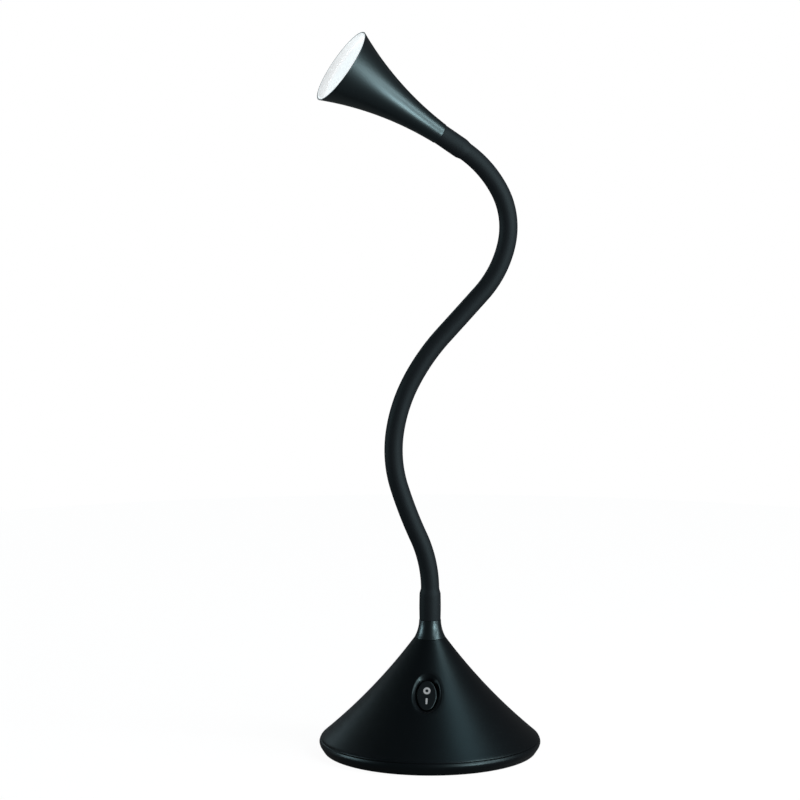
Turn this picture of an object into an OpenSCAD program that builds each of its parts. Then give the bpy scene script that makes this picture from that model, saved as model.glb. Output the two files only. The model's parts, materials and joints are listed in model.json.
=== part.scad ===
// Gooseneck desk lamp: a weighted cone base, a bendable neck and a trumpet-shaped lamp head.
// Millimetres. The origin is the centre of the foot pad's lower face, +Z is up, and the switch
// faces -Y. The neck and the head lie in one upright plane, turned neck_yaw about the Z axis.

/* [Base] */
// Radius of the base at its widest
base_r = 66.1; // [63:0.1:72]
// Height at which the base is widest
belly_z = 5.7; // [5.2:0.1:6.4]
// Height of the seam between the cone cover and the base pan
seam_z = 8; // [7.4:0.1:9]
// Height of the cone cover's top edge
cone_top_z = 69.5; // [65:0.5:77]
// Radius of the cone cover's top edge
cone_top_r = 9.3; // [8.8:0.1:11]
// Radius of the hollow curve of the cone's side, seen from the side
flank_curve_r = 355; // [300:5:900]
// Radius of the rounded shoulder that the seam runs round
shoulder_r = 5; // [4:0.5:7]
// Wall of the cone cover
cone_wall = 2.4; // [1.8:0.1:2.8]
// Thickness of the flat top of the cone cover, which carries the neck
deck_t = 5.5; // [5:0.1:7]
// Thickness of the base pan's floor
pan_floor = 1.8; // [1.4:0.1:2.4]
// How far the base pan's side leans in at its lower edge
pan_lean = 2.9; // [2.4:0.1:4]
// Rim of the base pan round the foot pad
pad_rim = 3.25; // [2.5:0.05:6]
// Thickness of the foot pad
pad_t = 1.3; // [1:0.1:2]
// Radius of the steel weight
weight_r = 46; // [42:0.5:47]
// Thickness of the steel weight
weight_t = 9; // [7:0.5:9.5]

/* [Neck] */
// Turn of the neck's plane about the Z axis
neck_yaw = 16; // [0:1:40]
// Height of the collar under the neck
collar_h = 10.9; // [9:0.1:15]
// Radius of the neck's rubber sleeve
sleeve_r = 5.45; // [5.2:0.05:6]
// Radius of the sleeve where it covers an end fitting
cuff_r = 6.25; // [6:0.05:6.5]
// Radius of the coiled steel core
core_r = 4; // [3.6:0.1:4.1]
// Radius of the hole through the core
core_bore_r = 2.4; // [2:0.1:2.6]
// Length of the straight foot of the neck
foot_len = 18; // [16:0.5:24]
// Length of each bendable link of the neck
link_len = 33; // [28:0.5:40]
// Length of the straight end of the neck at the head
tip_len = 17.5; // [14:0.5:20]
// Bend of each link as the lamp stands, towards the head's side, link by link
neck_bends = [24.5, -7, -25.5, -20.5, -15, 0.5, 30.5, 40.5, 27]; // degrees, -45 to 45 each
// Most that a neck joint turns either way
neck_swing = 30; // [10:1:30]

/* [Head] */
// Length of the lamp head
head_len = 72; // [68:0.5:84]
// Radius of the head's mouth
mouth_r = 23.9; // [21:0.1:28]
// Radius of the head where it meets the neck
head_foot_r = 6.4; // [6.3:0.05:7]
// Radius of the hollow curve of the head's side
head_curve_r = 197; // [160:1:400]
// Wall of the head shell
head_wall = 1.6; // [1.4:0.1:1.9]
// Wall of the head shell at its lip
lip_wall = 0.9; // [0.7:0.1:1.1]
// Depth of the diffuser's face below the lip
diffuser_depth = 2.9; // [1.5:0.1:3.5]
// Thickness of the diffuser
diffuser_t = 1.6; // [1.2:0.1:2]
// Number of light-emitting chips
chip_count = 6; // [4:1:7]

/* [Switch] */
// Height of the switch's middle on the cone's side
switch_z = 42; // [40:0.5:44]
// Half width of the oval dish round the switch
dish_a = 9.2; // [8.8:0.1:10]
// Depth of the dish
dish_depth = 2.6; // [2:0.1:2.8]
// Half width of the rocker
rocker_a = 5.9; // [5.4:0.1:6]
// Half height of the rocker
rocker_b = 9.3; // [8.8:0.1:9.4]
// Angle of the rocker to either side of its middle
rocker_tilt = 9; // [6:0.5:9]
// Angle of the contact strip to either side of its middle
contact_tilt = 4; // [3:0.5:4]

/* [Power] */
// Height of the power socket's axis
jack_z = 19; // [18:0.5:22]
// Radius of the recess round the power socket
niche_r = 7.2; // [6.8:0.1:7.6]
// Depth of the recess, from the cone's side at the socket's height
niche_depth = 10; // [8.5:0.1:10.5]
// Radius of the hole for the plug
jack_bore_r = 2.8; // [2.7:0.05:3]

/* [Fits] */
// Radial clearance of a pin that turns in its hole
run_gap = 0.06; // [0.03:0.01:0.1]
// Gap between parts that slip together
slip_gap = 0.15; // [0.1:0.05:0.25]
// Gap between parts that are pushed or screwed together
snug_gap = 0.05; // [0.02:0.01:0.1]
// Gap between two sections of the neck's sleeve
sleeve_gap = 0.05; // [0.02:0.01:0.1]

/* [Hidden] */
$fn = 64;
LINKS = len(neck_bends);
NECK = LINKS + 1;
function two(k) = k < 10 ? str("0", k) : str(k);

// Colours
BLACK = [0.08, 0.09, 0.10];
GLOSS_BLACK = [0.10, 0.12, 0.13];
RUBBER = [0.13, 0.15, 0.16];
STEEL = [0.62, 0.63, 0.65];
BRASS = [0.78, 0.63, 0.33];
WHITE = [0.95, 0.95, 0.94];
ALUMINIUM = [0.72, 0.73, 0.75];
RED_WIRE = [0.75, 0.10, 0.08];

// How far a cut runs past the surface that it opens
over = 1;

// Base: heights and radii that follow from the driving sizes
pan_bottom = pad_t;
pan_top = pan_bottom + pan_floor;
pan_foot_r = base_r - pan_lean;
pan_edge_z = 0.3;
pan_edge_round = 1.2;
pan_rim_lean = 0.5;
pan_rim_h = 1.7;
pan_spigot_t = 1.6;
pan_spigot_top = seam_z + 2;
pad_recess_r = pan_foot_r - pad_rim;
pad_r = pad_recess_r - slip_gap;
weight_top = pan_top + weight_t;
weight_bore_r = 8;
flank_steps = 20;
shoulder_steps = 6;
shoulder_c = [base_r - shoulder_r, belly_z];
top_edge = [cone_top_r, cone_top_z];

// Screws of the base, M3: three hold the cone cover and three the weight
screw_r = 1.45;
screw_hole_r = 1.5;
screw_clear_r = 1.7;
screw_head_r = 2.75;
screw_head_h = 1.6;
screw_head_seat = 1.7;
screw_tip_gap = 0.5;
screw_bite = 5.5;
cover_screw_len = seam_z - pan_bottom - screw_head_seat + screw_bite;
cover_screw_circle = base_r - 12.1;
cover_screw_angles = [30, 150, 270];
cover_boss_r = 3.5;
boss_foot_gap = 0.1;
weight_screw_len = weight_t + 0.4;
weight_screw_circle = weight_r - 10;
weight_screw_angles = [60, 180, 300];
pan_stub_r = 3.2;
pan_stub_h = 3.4;
pan_stub_floor = 0.8;

// Neck mounting in the cone's top
cuff_seat_gap = 0.1;
neck_z = cone_top_z + collar_h + cuff_seat_gap;
deck_z = cone_top_z - deck_t;
lead_hole_r = core_bore_r - 0.2;
flange_r = 6.6;
flange_t = 1.6;
core_hole_r = core_r + snug_gap;
socket_len = 13.5;
socket_wall = 0.9;
socket_r = core_hole_r + socket_wall;
socket_below = 9;
thread_r = socket_r;
nut_corner_r = 8.1;
nut_h = 3.5;
nut_flange_gap = 0.4;
nut_flange_t = 1;
thread_tail = 1.5;
collar_curve_r = 23;
collar_tip_r = cuff_r + 0.25;
collar_steps = 10;

// Joint gap of the core, wide enough for its ends to turn by neck_swing
core_gap = core_r * tan(neck_swing / 2) + 0.1;
core_seat_gap = 0.1;
cuff_past = 1.5;
cuff_taper = 3;
cuff_thin_min = 0.1;
cuff_step_gap = 0.1;

// Lead in the neck
lead_r = 1.6;
lead_sides = 8;
lead_step = 8;
lead_foot = [[-12, 24], [-12, 27], [-10.5, 33], [-7, 42], [-2.5, 50], [-0.5, 55]];
lead_head_reach = 27.6;
curve_steps = 4;

// Head, measured along its own axis from the neck's end
head_foot = [head_foot_r, 0];
head_lip = [mouth_r, head_len];
head_steps = 20;
head_stud_r = 4;
head_bore_r = head_stud_r + 0.1;
head_boss_len = 22;
head_socket_floor = 3.5;
head_nut_h = 3;
head_nut_r = 5.8;
head_stud_tail = 0.8;
head_stud_end = head_boss_len + head_nut_h + head_stud_tail;
ledge_back = 31;
ledge_t = 1.7;
ledge_w = 1.1;
plate_z = head_len - ledge_back;
sink_plate_t = 2;
sink_core_r = 4.5;
sink_fin_gap = 1.6;
sink_fin_t = 1;
sink_fin_pitch = 3;
sink_room = 5;
sink_fins = floor((plate_z - head_stud_end - sink_room) / sink_fin_pitch);
sink_bore_r = 2.2;
board_z = plate_z + sink_plate_t;
led_board_t = 1.2;
led_board_hole_r = 2;
chip_circle = 5.4;
chip_size = 2.6;
chip_t = 0.8;
led_screw_edge = 1.7;
led_screw_angles = [30, 210];
led_screw_r = 0.8;
led_screw_head_r = 1.4;
led_screw_head_h = 0.9;
led_screw_len = 2.8;
led_wire_x = 0.9;
led_wire_top = 0.4;
reflector_wall = 1;
reflector_z = board_z + led_board_t + 0.3;
rim_ring = 0.9;
rim_step = 0.4;
rim_below_lip = 0.3;
rim_overlap = 0.01;
diffuser_gap = 0.1;
diffuser_z = head_len - diffuser_depth - diffuser_t;

// Switch: its own frame has Z out of the cone's side and Y up the slope
switch_sink = 0.5;
boss_wall = 2.2;
boss_back = 3.4;
hole_a = rocker_a + 0.7;
hole_b = rocker_b + 0.9;
oval_end = 0.75;
pivot_z = -4.8;
pivot_r = 1;
face_h = 3.9;
face_dip = 0.5;
face_r = (rocker_b * rocker_b + face_dip * face_dip) / (2 * face_dip);
skirt_h = 0.2;
swing_r = norm([rocker_b, face_h]) + 0.02;
oval_spare = 0.3;
hub_b = 2.4;
hub_h = 3.2;
hub_flare_w = 1;
hub_flare = 1.6;
box_wall = 1.1;
box_in_a = rocker_a + 0.3;
box_in_b = rocker_b + 1.4;
box_a = box_in_a + box_wall;
box_b = box_in_b + box_wall;
trunnion_end = box_a - 0.4;
box_floor_t = 1;
clip_b = box_b + 2.1;
clip_end = 1.4;
clip_t = 1.2;
clip_a = 4;
clip_peg_r = 0.9;
clip_peg_h = 1.6;
plunger_r = 1.1;
plunger_reach = 4.2;
plunger_back = 1.4;
hub_hole_top = 1.2;
spring_wire_r = 0.16;
spring_coil_r = 0.85;
spring_turns = 4;
spring_turn_steps = 12;
spring_gap = 0.02;
contact_half = 6.5;
contact_a = 1.6;
contact_t = 0.4;
contact_gap = 0.1;
live_gap = 0.15;
plunger_gap = 0.35;
contact_pivot_z = pivot_z - plunger_reach - plunger_gap - contact_t / 2;
box_floor_z = contact_pivot_z - 2.45;
terminal_a = 1.4;
terminal_t = 0.6;
terminal_len = 6;
terminal_end_z = box_floor_z - box_floor_t - terminal_len;
live_y = 6;
mark_t = 0.15;
mark_y = 3.1;
mark_r = 2.15;
mark_hole_r = 0.95;
bar_y = -3.4;
bar_w = 1.1;
bar_h = 3.9;

// Power socket
niche_wall = 1.8;
niche_back = 2.2;
jack_thread_r = 4;
jack_hole_r = jack_thread_r + 0.1;
jack_front = 3.2;
jack_body_r = 5.5;
jack_body_len = 11;
jack_bore_len = 9.5;
jack_pin_r = 1;
jack_pin_len = 8.3;
jack_nut_r = 5.8;
jack_nut_t = 2;
lug_x = 2;
lug = [1.8, 0.4, 3];

// Driver board
board_w = 44;
board_d = 28;
board_t = 1.6;
standoff_h = 4.9;
standoff_r = 2.89;
standoff_edge = 3.5;
standoff_hole_z = 1;
board_floor = weight_top + standoff_h;
board_top = board_floor + board_t;
stud_len = 4;
stud_hole_gap = 0.5;
stud_r = 1.2;
board_screw_len = board_t + standoff_h - 1.5;
board_head_r = 2.6;
board_head_h = 1.6;
capacitor_r = 4;
capacitor_h = 10;
capacitor_at = [14, 3];
inductor_r = 3.6;
inductor_waist_r = 2.8;
inductor_rim = 1;
inductor_h = 5;
inductor_at = [3.5, -1.5];
chip_at = [-4, 4];
driver_chip = [5, 4, 1.5];
plug_h = 3;
lead_plug = [5, 4.4, plug_h];
wire_plug = [6, 4, plug_h];
lead_plug_u = -12;
lead_plug_at = [lead_plug_u * cos(neck_yaw), lead_plug_u * sin(neck_yaw)];
switch_plug_at = [9.3, -9.6];
jack_plug_at = [0, 10.6];
wire_r = 0.6;
wire_sides = 8;
wire_pitch = 1.4;
wire_end = 1.5;

// ---- geometry helpers ----

// Points on a circle's arc of radius r from point a to point b, with the centre on the right
// hand of the way from a to b.
function arc_centre(a, b, r) =
    let (d = b - a, half = norm(d) / 2, n = [d.y, -d.x] / norm(d))
    (a + b) / 2 + n * sqrt(r * r - half * half);
function arc_points(a, b, r, steps, grow = 0) =
    let (c = arc_centre(a, b, r),
         t0 = atan2(a.y - c.y, a.x - c.x),
         turn = 2 * asin(norm(b - a) / 2 / r))
    [for (i = [0:steps]) c + (r + grow) * [cos(t0 - turn * i / steps), sin(t0 - turn * i / steps)]];

// An oval of four arcs: half width a, half height b, ends of radius oval_end * a.
function oval_side_r(a, b, e) = (a * a + pow(b - e, 2) - e * e) / (2 * (a - e));
function oval_join(a, b, e) = let (r = oval_side_r(a, b, e)) r * (b - e) / (r - e);
// The oval as a solid whose outline grows evenly by grow over its height
module oval_solid(a, b, h, grow = 0) {
    e = oval_end * a;
    r = oval_side_r(a, b, e);
    intersection() {
        for_both_sides(r - a) cylinder(r1 = r, r2 = r + grow, h = h, $fn = 96);
        translate([-a - grow - 1, -oval_join(a, b, e), 0])
            cube([2 * (a + grow + 1), 2 * oval_join(a, b, e), h]);
    }
    for (s = [-1, 1]) translate([0, s * (b - e), 0]) cylinder(r1 = e, r2 = e + grow, h = h);
}
// What two copies of a shape, moved by x to either side, have in common
module for_both_sides(x) {
    intersection() {
        translate([x, 0, 0]) children();
        translate([-x, 0, 0]) children();
    }
}

// Sum of a list's first n numbers
function sum_to(v, n) = n <= 0 ? 0 : v[n - 1] + sum_to(v, n - 1);

// A round bar along a list of points, each ring square to the way from the point before it to
// the point after it; side is any direction that the bar never runs along.
function unit(v) = v / norm(v);
function way(points, i) =
    unit(points[min(i + 1, len(points) - 1)] - points[max(i - 1, 0)]);
module bar_along(points, r, sides, side) {
    n = len(points);
    rings = [for (i = [0:n - 1])
        let (t = way(points, i), u = unit(cross(t, side)), v = cross(u, t))
        for (s = [0:sides - 1]) points[i] + r * (cos(360 * s / sides) * u + sin(360 * s / sides) * v)];
    walls = [for (i = [0:n - 2]) for (s = [0:sides - 1])
        let (a = i * sides + s, b = i * sides + (s + 1) % sides)
        each [[a, a + sides, b], [b, a + sides, b + sides]]];
    caps = [[for (s = [0:sides - 1]) s], [for (s = [sides - 1:-1:0]) (n - 1) * sides + s]];
    polyhedron(rings, concat(walls, caps));
}

// A smooth curve through a list of points, with a few points added between each two
function curve_point(p, i, t) =
    let (a = p[max(i - 1, 0)], b = p[i], c = p[i + 1], d = p[min(i + 2, len(p) - 1)])
    0.5 * (2 * b + (c - a) * t + (2 * a - 5 * b + 4 * c - d) * t * t
        + (3 * b - a - 3 * c + d) * t * t * t);
function curve(p) = concat(
    [for (i = [0:len(p) - 2]) for (s = [0:curve_steps - 1]) curve_point(p, i, s / curve_steps)],
    [p[len(p) - 1]]);

module at_circle(radius, angles) {
    for (a = angles) rotate([0, 0, a]) translate([radius, 0, 0]) children();
}

// ---- outline of the base ----

// The side's curve meets the shoulder's round where both have the same slope
function flank_gap(turn) =
    let (foot = shoulder_c + shoulder_r * [cos(turn), sin(turn)],
         d = top_edge - foot,
         chord = atan2(-d.x, d.y))
    chord + asin(norm(d) / 2 / flank_curve_r) - turn;
function solve_turn(lo, hi, n) =
    n == 0 ? (lo + hi) / 2
    : flank_gap((lo + hi) / 2) > 0 ? solve_turn((lo + hi) / 2, hi, n - 1)
    : solve_turn(lo, (lo + hi) / 2, n - 1);
shoulder_turn = solve_turn(20, 80, 30);
flank_foot = shoulder_c + shoulder_r * [cos(shoulder_turn), sin(shoulder_turn)];

// Outline of the cone, moved inwards by off: up the shoulder, then up the side
function cone_side(off) = concat(
    [for (i = [0:shoulder_steps - 1])
        let (t = shoulder_turn * i / shoulder_steps)
        shoulder_c + (shoulder_r - off) * [cos(t), sin(t)]],
    arc_points(flank_foot, top_edge, flank_curve_r, flank_steps, off));

// The outline between two heights as a shape
module cone_outline(off, z0, z1) {
    side = cone_side(off);
    intersection() {
        polygon(concat([[0, belly_z]], side, [[0, side[len(side) - 1].y]]));
        translate([0, z0]) square([base_r, z1 - z0]);
    }
}

// Radius of the cone's side at a height, moved inwards by off
flank_c = arc_centre(flank_foot, top_edge, flank_curve_r);
function cone_r_at(z, off = 0) =
    z < shoulder_c.y + (shoulder_r - off) * sin(shoulder_turn)
    ? shoulder_c.x + sqrt(pow(shoulder_r - off, 2) - pow(z - shoulder_c.y, 2))
    : flank_c.x - sqrt(pow(flank_curve_r + off, 2) - pow(z - flank_c.y, 2));
// How far the outward normal of the side's curve is tipped from upright at a height
function flank_tip_at(z) = acos((flank_c.y - z) / flank_curve_r);

// What fits within the cover: the pan's rim and the flange of the neck's nut
pan_spigot_r = cone_r_at(pan_spigot_top, cone_wall) - slip_gap;
nut_flange_r = cone_r_at(deck_z, cone_wall) - nut_flange_gap;

// ---- placing ----

link_lens = [for (k = [0:NECK]) k == 0 ? foot_len : k == NECK ? tip_len : link_len];
link_turns = [for (k = [0:NECK]) k == 0 || k == NECK ? 0 : neck_bends[k - 1]];
function heading(k) = 90 + sum_to(link_turns, k);
// Way from one end of a bent link to a point a share t along it
function link_way(k, t) =
    let (h = heading(k), turn = link_turns[k] * t, run = link_lens[k] * t)
    turn == 0 ? run * [cos(h), sin(h)]
    : run * 180 / PI / turn * [sin(h + turn) - sin(h), cos(h) - cos(h + turn)];
function link_start(k) = k == 0 ? [0, neck_z] : link_start(k - 1) + link_way(k - 1, 1);

module on_plane() { rotate([0, 0, neck_yaw]) children(); }
// The frame at the start of link k, Z along the neck and X in the neck's plane
module on_link(k) {
    p = link_start(k);
    on_plane() translate([p.x, 0, p.y]) rotate([0, 90 - heading(k), 0]) children();
}
module on_head() { on_link(NECK + 1) children(); }

switch_y = -cone_r_at(switch_z) + switch_sink;
switch_tip = flank_tip_at(switch_z);
module on_switch() { translate([0, switch_y, switch_z]) rotate([switch_tip, 0, 0]) children(); }
// A point of the switch's own frame, in the lamp's frame
function from_switch(y, z) = [0, switch_y + y * cos(switch_tip) - z * sin(switch_tip),
    switch_z + y * sin(switch_tip) + z * cos(switch_tip)];
module on_rocker(tilt) {
    on_switch() translate([0, 0, pivot_z]) rotate([tilt, 0, 0]) children();
}
niche_y = cone_r_at(jack_z) - niche_depth;
module on_jack() { translate([0, niche_y, jack_z]) rotate([-90, 0, 0]) children(); }

// ---- base ----

// What stays solid within the cone cover: screw bosses, the seat of the switch and the wall
// round the power socket's recess
module cover_bosses() {
    at_circle(cover_screw_circle, cover_screw_angles)
        translate([0, 0, seam_z + boss_foot_gap]) cylinder(r = cover_boss_r, h = cone_top_z);
    on_switch() translate([0, 0, -boss_back])
        oval_solid(dish_a + boss_wall, clip_b + boss_wall, boss_back * 2);
    recess_wall(0);
}

// The wall round the power socket's recess, grown by off
module recess_wall(off) {
    on_jack() translate([0, 0, -niche_back - off]) cylinder(r = niche_r + niche_wall + off, h = base_r);
}

module base_cone() {
    color(BLACK) difference() {
        rotate_extrude() cone_outline(0, seam_z, cone_top_z);
        // The hollow, with its flat top under the deck
        difference() {
            rotate_extrude() cone_outline(cone_wall, belly_z, deck_z);
            cover_bosses();
        }
        // Hole for the neck's thread
        translate([0, 0, deck_z - over]) cylinder(r = thread_r + slip_gap, h = deck_t + 2 * over);
        // Pilot holes of the cover screws
        at_circle(cover_screw_circle, cover_screw_angles)
            cylinder(r = screw_hole_r, h = pan_bottom + screw_head_seat + cover_screw_len + screw_tip_gap);
        // Dish and opening of the switch, and the holes for its housing's pegs
        on_switch() {
            dish_cut();
            translate([0, 0, -boss_back - over]) oval_solid(hole_a, hole_b, boss_back + 2 * over);
            for (s = [-1, 1]) translate([0, s * clip_b, -boss_back - over])
                cylinder(r = clip_peg_r + slip_gap, h = over + clip_peg_h + 2 * slip_gap);
        }
        // Recess and hole of the power socket
        on_jack() {
            cylinder(r = niche_r, h = base_r);
            translate([0, 0, -niche_back - over]) cylinder(r = jack_hole_r, h = niche_back + 2 * over);
        }
    }
}

// The dish narrows evenly from the cone's surface down to the opening
module dish_cut() {
    h = dish_depth + 2 * over;
    translate([0, 0, -dish_depth]) oval_solid(hole_a, hole_b, h, (dish_a - hole_a) * h / dish_depth);
}

module base_pan() {
    spigot_in = pan_spigot_r - pan_spigot_t;
    color(BLACK) difference() {
        union() {
            rotate_extrude() polygon(concat(
                [[0, pan_bottom], [pad_recess_r, pan_bottom], [pad_recess_r, pan_edge_z],
                    [pan_foot_r - pan_edge_round, pan_edge_z], [pan_foot_r, pan_edge_z + pan_edge_round / 2],
                    [base_r - pan_rim_lean, belly_z - pan_rim_h]],
                [for (i = [0:shoulder_steps])
                    let (z = belly_z + (seam_z - belly_z) * i / shoulder_steps) [cone_r_at(z), z]],
                [[pan_spigot_r, seam_z], [pan_spigot_r, pan_spigot_top], [spigot_in, pan_spigot_top],
                    [spigot_in, pan_top], [0, pan_top]]));
            at_circle(cover_screw_circle, cover_screw_angles)
                translate([0, 0, pan_bottom]) cylinder(r = cover_boss_r, h = seam_z - pan_bottom);
            at_circle(weight_screw_circle, weight_screw_angles)
                translate([0, 0, pan_bottom]) cylinder(r = pan_stub_r, h = pan_floor + pan_stub_h);
        }
        at_circle(cover_screw_circle, cover_screw_angles) {
            cylinder(r = screw_clear_r, h = seam_z + over);
            cylinder(r = screw_head_r + slip_gap, h = pan_bottom + screw_head_seat);
        }
        at_circle(weight_screw_circle, weight_screw_angles)
            translate([0, 0, pan_bottom + pan_stub_floor]) cylinder(r = screw_hole_r, h = weight_t);
        recess_wall(slip_gap);
    }
}

module foot_pad() { color(RUBBER) cylinder(r = pad_r, h = pad_t, $fn = 96); }

module base_weight() {
    color(STEEL) translate([0, 0, pan_top]) difference() {
        cylinder(r = weight_r, h = weight_t, $fn = 96);
        translate([0, 0, -over]) cylinder(r = weight_bore_r, h = weight_t + 2 * over);
        at_circle(weight_screw_circle, weight_screw_angles) translate([0, 0, -over]) {
            cylinder(r = screw_clear_r, h = weight_t + 2 * over);
            cylinder(r = pan_stub_r + slip_gap, h = over + pan_stub_h + slip_gap);
        }
        at_standoffs() translate([0, 0, weight_t - stud_len - stud_hole_gap])
            cylinder(r = stud_r + snug_gap, h = stud_len + stud_hole_gap + over);
        translate([0, 0, -pan_top]) recess_wall(slip_gap);
    }
}

// Pan-head screw, its head's underside at z = 0 and its shank along +Z
module pan_screw(shank_r, shank_len, head_r, head_h) {
    rotate_extrude() difference() {
        union() {
            translate([0, -head_h]) square([head_r, head_h]);
            square([shank_r, shank_len]);
        }
        translate([0, -head_h]) square([head_r * 0.35, head_h * 0.5]);
    }
}

module base_screws() {
    color(STEEL) {
        at_circle(cover_screw_circle, cover_screw_angles)
            translate([0, 0, pan_bottom + screw_head_seat])
                pan_screw(screw_r, cover_screw_len, screw_head_r, screw_head_h);
        at_circle(weight_screw_circle, weight_screw_angles)
            translate([0, 0, weight_top]) rotate([180, 0, 0])
                pan_screw(screw_r, weight_screw_len, screw_head_r, screw_head_h);
    }
}

// ---- neck mounting ----

module neck_collar() {
    color(GLOSS_BLACK) difference() {
        rotate_extrude() polygon(concat([[0, cone_top_z]],
            arc_points(top_edge, [collar_tip_r, cone_top_z + collar_h], collar_curve_r, collar_steps),
            [[0, cone_top_z + collar_h]]));
        translate([0, 0, cone_top_z - over]) {
            cylinder(r = socket_r + snug_gap, h = collar_h + 2 * over);
            cylinder(r = flange_r + slip_gap, h = over + flange_t + snug_gap);
        }
    }
}

module neck_lower_fitting() {
    bottom = deck_z - nut_flange_t - nut_h - thread_tail;
    color(BRASS) difference() {
        union() {
            translate([0, 0, bottom]) cylinder(r = thread_r, h = cone_top_z - bottom);
            translate([0, 0, cone_top_z]) cylinder(r = flange_r, h = flange_t);
            translate([0, 0, cone_top_z]) cylinder(r = socket_r, h = neck_z + socket_len - cone_top_z);
        }
        translate([0, 0, bottom - over]) cylinder(r = lead_hole_r, h = neck_z - bottom);
        translate([0, 0, neck_z - socket_below])
            cylinder(r = core_hole_r, h = socket_below + socket_len + over);
    }
}

module hex_nut(across_corner_r, h, bore_r) {
    difference() {
        cylinder(r = across_corner_r, h = h, $fn = 6);
        translate([0, 0, -over]) cylinder(r = bore_r, h = h + 2 * over);
    }
}

module neck_lock_nut() {
    color(STEEL) translate([0, 0, deck_z - nut_flange_t - nut_h]) {
        hex_nut(nut_corner_r, nut_h, thread_r + snug_gap);
        translate([0, 0, nut_h]) linear_extrude(nut_flange_t) ring(nut_flange_r, thread_r + snug_gap);
    }
}

// ---- neck ----

// A flat outline carried along a link, trimmed by cut at its start and end
module along_link(k, cut0, cut1) {
    l = link_lens[k];
    turn = link_turns[k];
    if (turn == 0)
        translate([0, 0, cut0]) linear_extrude(l - cut0 - cut1) children();
    else {
        r = l * 180 / PI / abs(turn);
        mirror([turn < 0 ? 1 : 0, 0, 0]) translate([-r, 0, 0]) rotate([90, 0, 0])
            rotate([0, 0, cut0 * 180 / PI / r])
                rotate_extrude(angle = abs(turn) - (cut0 + cut1) * 180 / PI / r)
                    translate([r, 0]) children();
    }
}

module ring(outer, inner) {
    difference() {
        circle(r = outer, $fn = 48);
        circle(r = inner, $fn = 48);
    }
}

// Straight end sleeve of length l: thin from z = 0, then a taper to the cuff over the end fitting
module cuff(l) {
    step_z = l - socket_len - cuff_step_gap;
    thin = max(step_z - cuff_past - cuff_taper, cuff_thin_min);
    rotate_extrude($fn = 96) polygon([
        [core_hole_r, 0], [sleeve_r, 0], [sleeve_r, thin], [cuff_r, thin + cuff_taper], [cuff_r, l],
        [socket_r + snug_gap, l], [socket_r + snug_gap, step_z], [core_hole_r, step_z]]);
}

module neck_sleeve(k) {
    half = sleeve_gap / 2;
    color(RUBBER) on_link(k) {
        if (k == 0)
            translate([0, 0, foot_len - half]) mirror([0, 0, 1]) cuff(foot_len - half);
        else if (k == NECK)
            translate([0, 0, half]) cuff(tip_len - half - snug_gap);
        else
            along_link(k, half, half) ring(sleeve_r, core_hole_r);
    }
}

module neck_core(k) {
    cut0 = k == 0 ? core_seat_gap - socket_below : core_gap;
    cut1 = k == NECK ? head_socket_floor + core_seat_gap : core_gap;
    color(STEEL) on_link(k) along_link(k, cut0, cut1) ring(core_r, core_bore_r);
}

// The lead runs from the driver board up the core's middle into the head, in the neck's plane
function link_points(k) =
    let (n = max(1, round(link_lens[k] / lead_step)), p = link_start(k))
    [for (i = [0:n - 1]) p + link_way(k, i / n)];
function head_point(t) =
    let (p = link_start(NECK + 1), h = heading(NECK + 1)) p + t * [cos(h), sin(h)];
lead_route = concat(
    curve(concat([[lead_plug_u, board_top + plug_h]], lead_foot, [[0, deck_z], [0, cone_top_z]])),
    [for (k = [0:NECK]) each link_points(k)],
    [for (i = [0:3]) head_point(lead_head_reach * i / 3)]);

module neck_lead() {
    color(WHITE * 0.9) on_plane()
        bar_along([for (p = lead_route) [p.x, 0, p.y]], lead_r, lead_sides, [0, 1, 0]);
}

// ---- head ----

function head_side(off) = arc_points(head_foot, head_lip, head_curve_r, head_steps, off);
// Radius of the head's side at a height above its foot, moved inwards by off
head_c = arc_centre(head_foot, head_lip, head_curve_r);
function head_r_at(z, off = 0) = head_c.x - sqrt(pow(head_curve_r + off, 2) - pow(z - head_c.y, 2));
// The space within the head's side, moved inwards by off, between two heights
module head_inside(off, z0, z1) {
    side = head_side(off);
    n = len(side) - 1;
    run_out = [0, 4];
    intersection() {
        polygon(concat([[0, -run_out.y], [side[0].x, -run_out.y]], side,
            [side[n] + run_out, [0, head_len] + run_out]));
        translate([0, z0]) square([mouth_r * 2, z1 - z0]);
    }
}

// The heat sink's plate rests on a ledge of the shell, and the board on the plate
sink_plate_r = head_r_at(plate_z, head_wall) - slip_gap;
ledge_r = sink_plate_r - ledge_w;
led_board_r = ledge_r;
led_screw_circle = led_board_r - led_screw_edge;

module head_shell() {
    color(GLOSS_BLACK) on_head() rotate_extrude($fn = 96) difference() {
        head_inside(0, 0, head_len);
        difference() {
            head_inside(head_wall, head_boss_len, diffuser_z - rim_step);
            translate([ledge_r, plate_z - ledge_t]) square([mouth_r, ledge_t]);
        }
        head_inside(lip_wall, diffuser_z - rim_step - rim_overlap, head_len + over);
        translate([0, -over]) square([head_bore_r, head_len]);
    }
}

module neck_upper_fitting() {
    color(BRASS) on_head() difference() {
        union() {
            translate([0, 0, -socket_len]) cylinder(r = socket_r, h = socket_len);
            cylinder(r = head_stud_r, h = head_stud_end);
        }
        translate([0, 0, -socket_len - over])
            cylinder(r = core_hole_r, h = over + socket_len - head_socket_floor);
        translate([0, 0, -socket_len]) cylinder(r = lead_hole_r, h = socket_len + head_stud_end + over);
    }
}

module head_nut() {
    color(STEEL) on_head() translate([0, 0, head_boss_len])
        hex_nut(head_nut_r, head_nut_h, head_stud_r + snug_gap);
}

// The fins pass the ledge, and stay within the shell where it narrows
function fin_r_at(z) = min(ledge_r, head_r_at(z, head_wall)) - sink_fin_gap;

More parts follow.
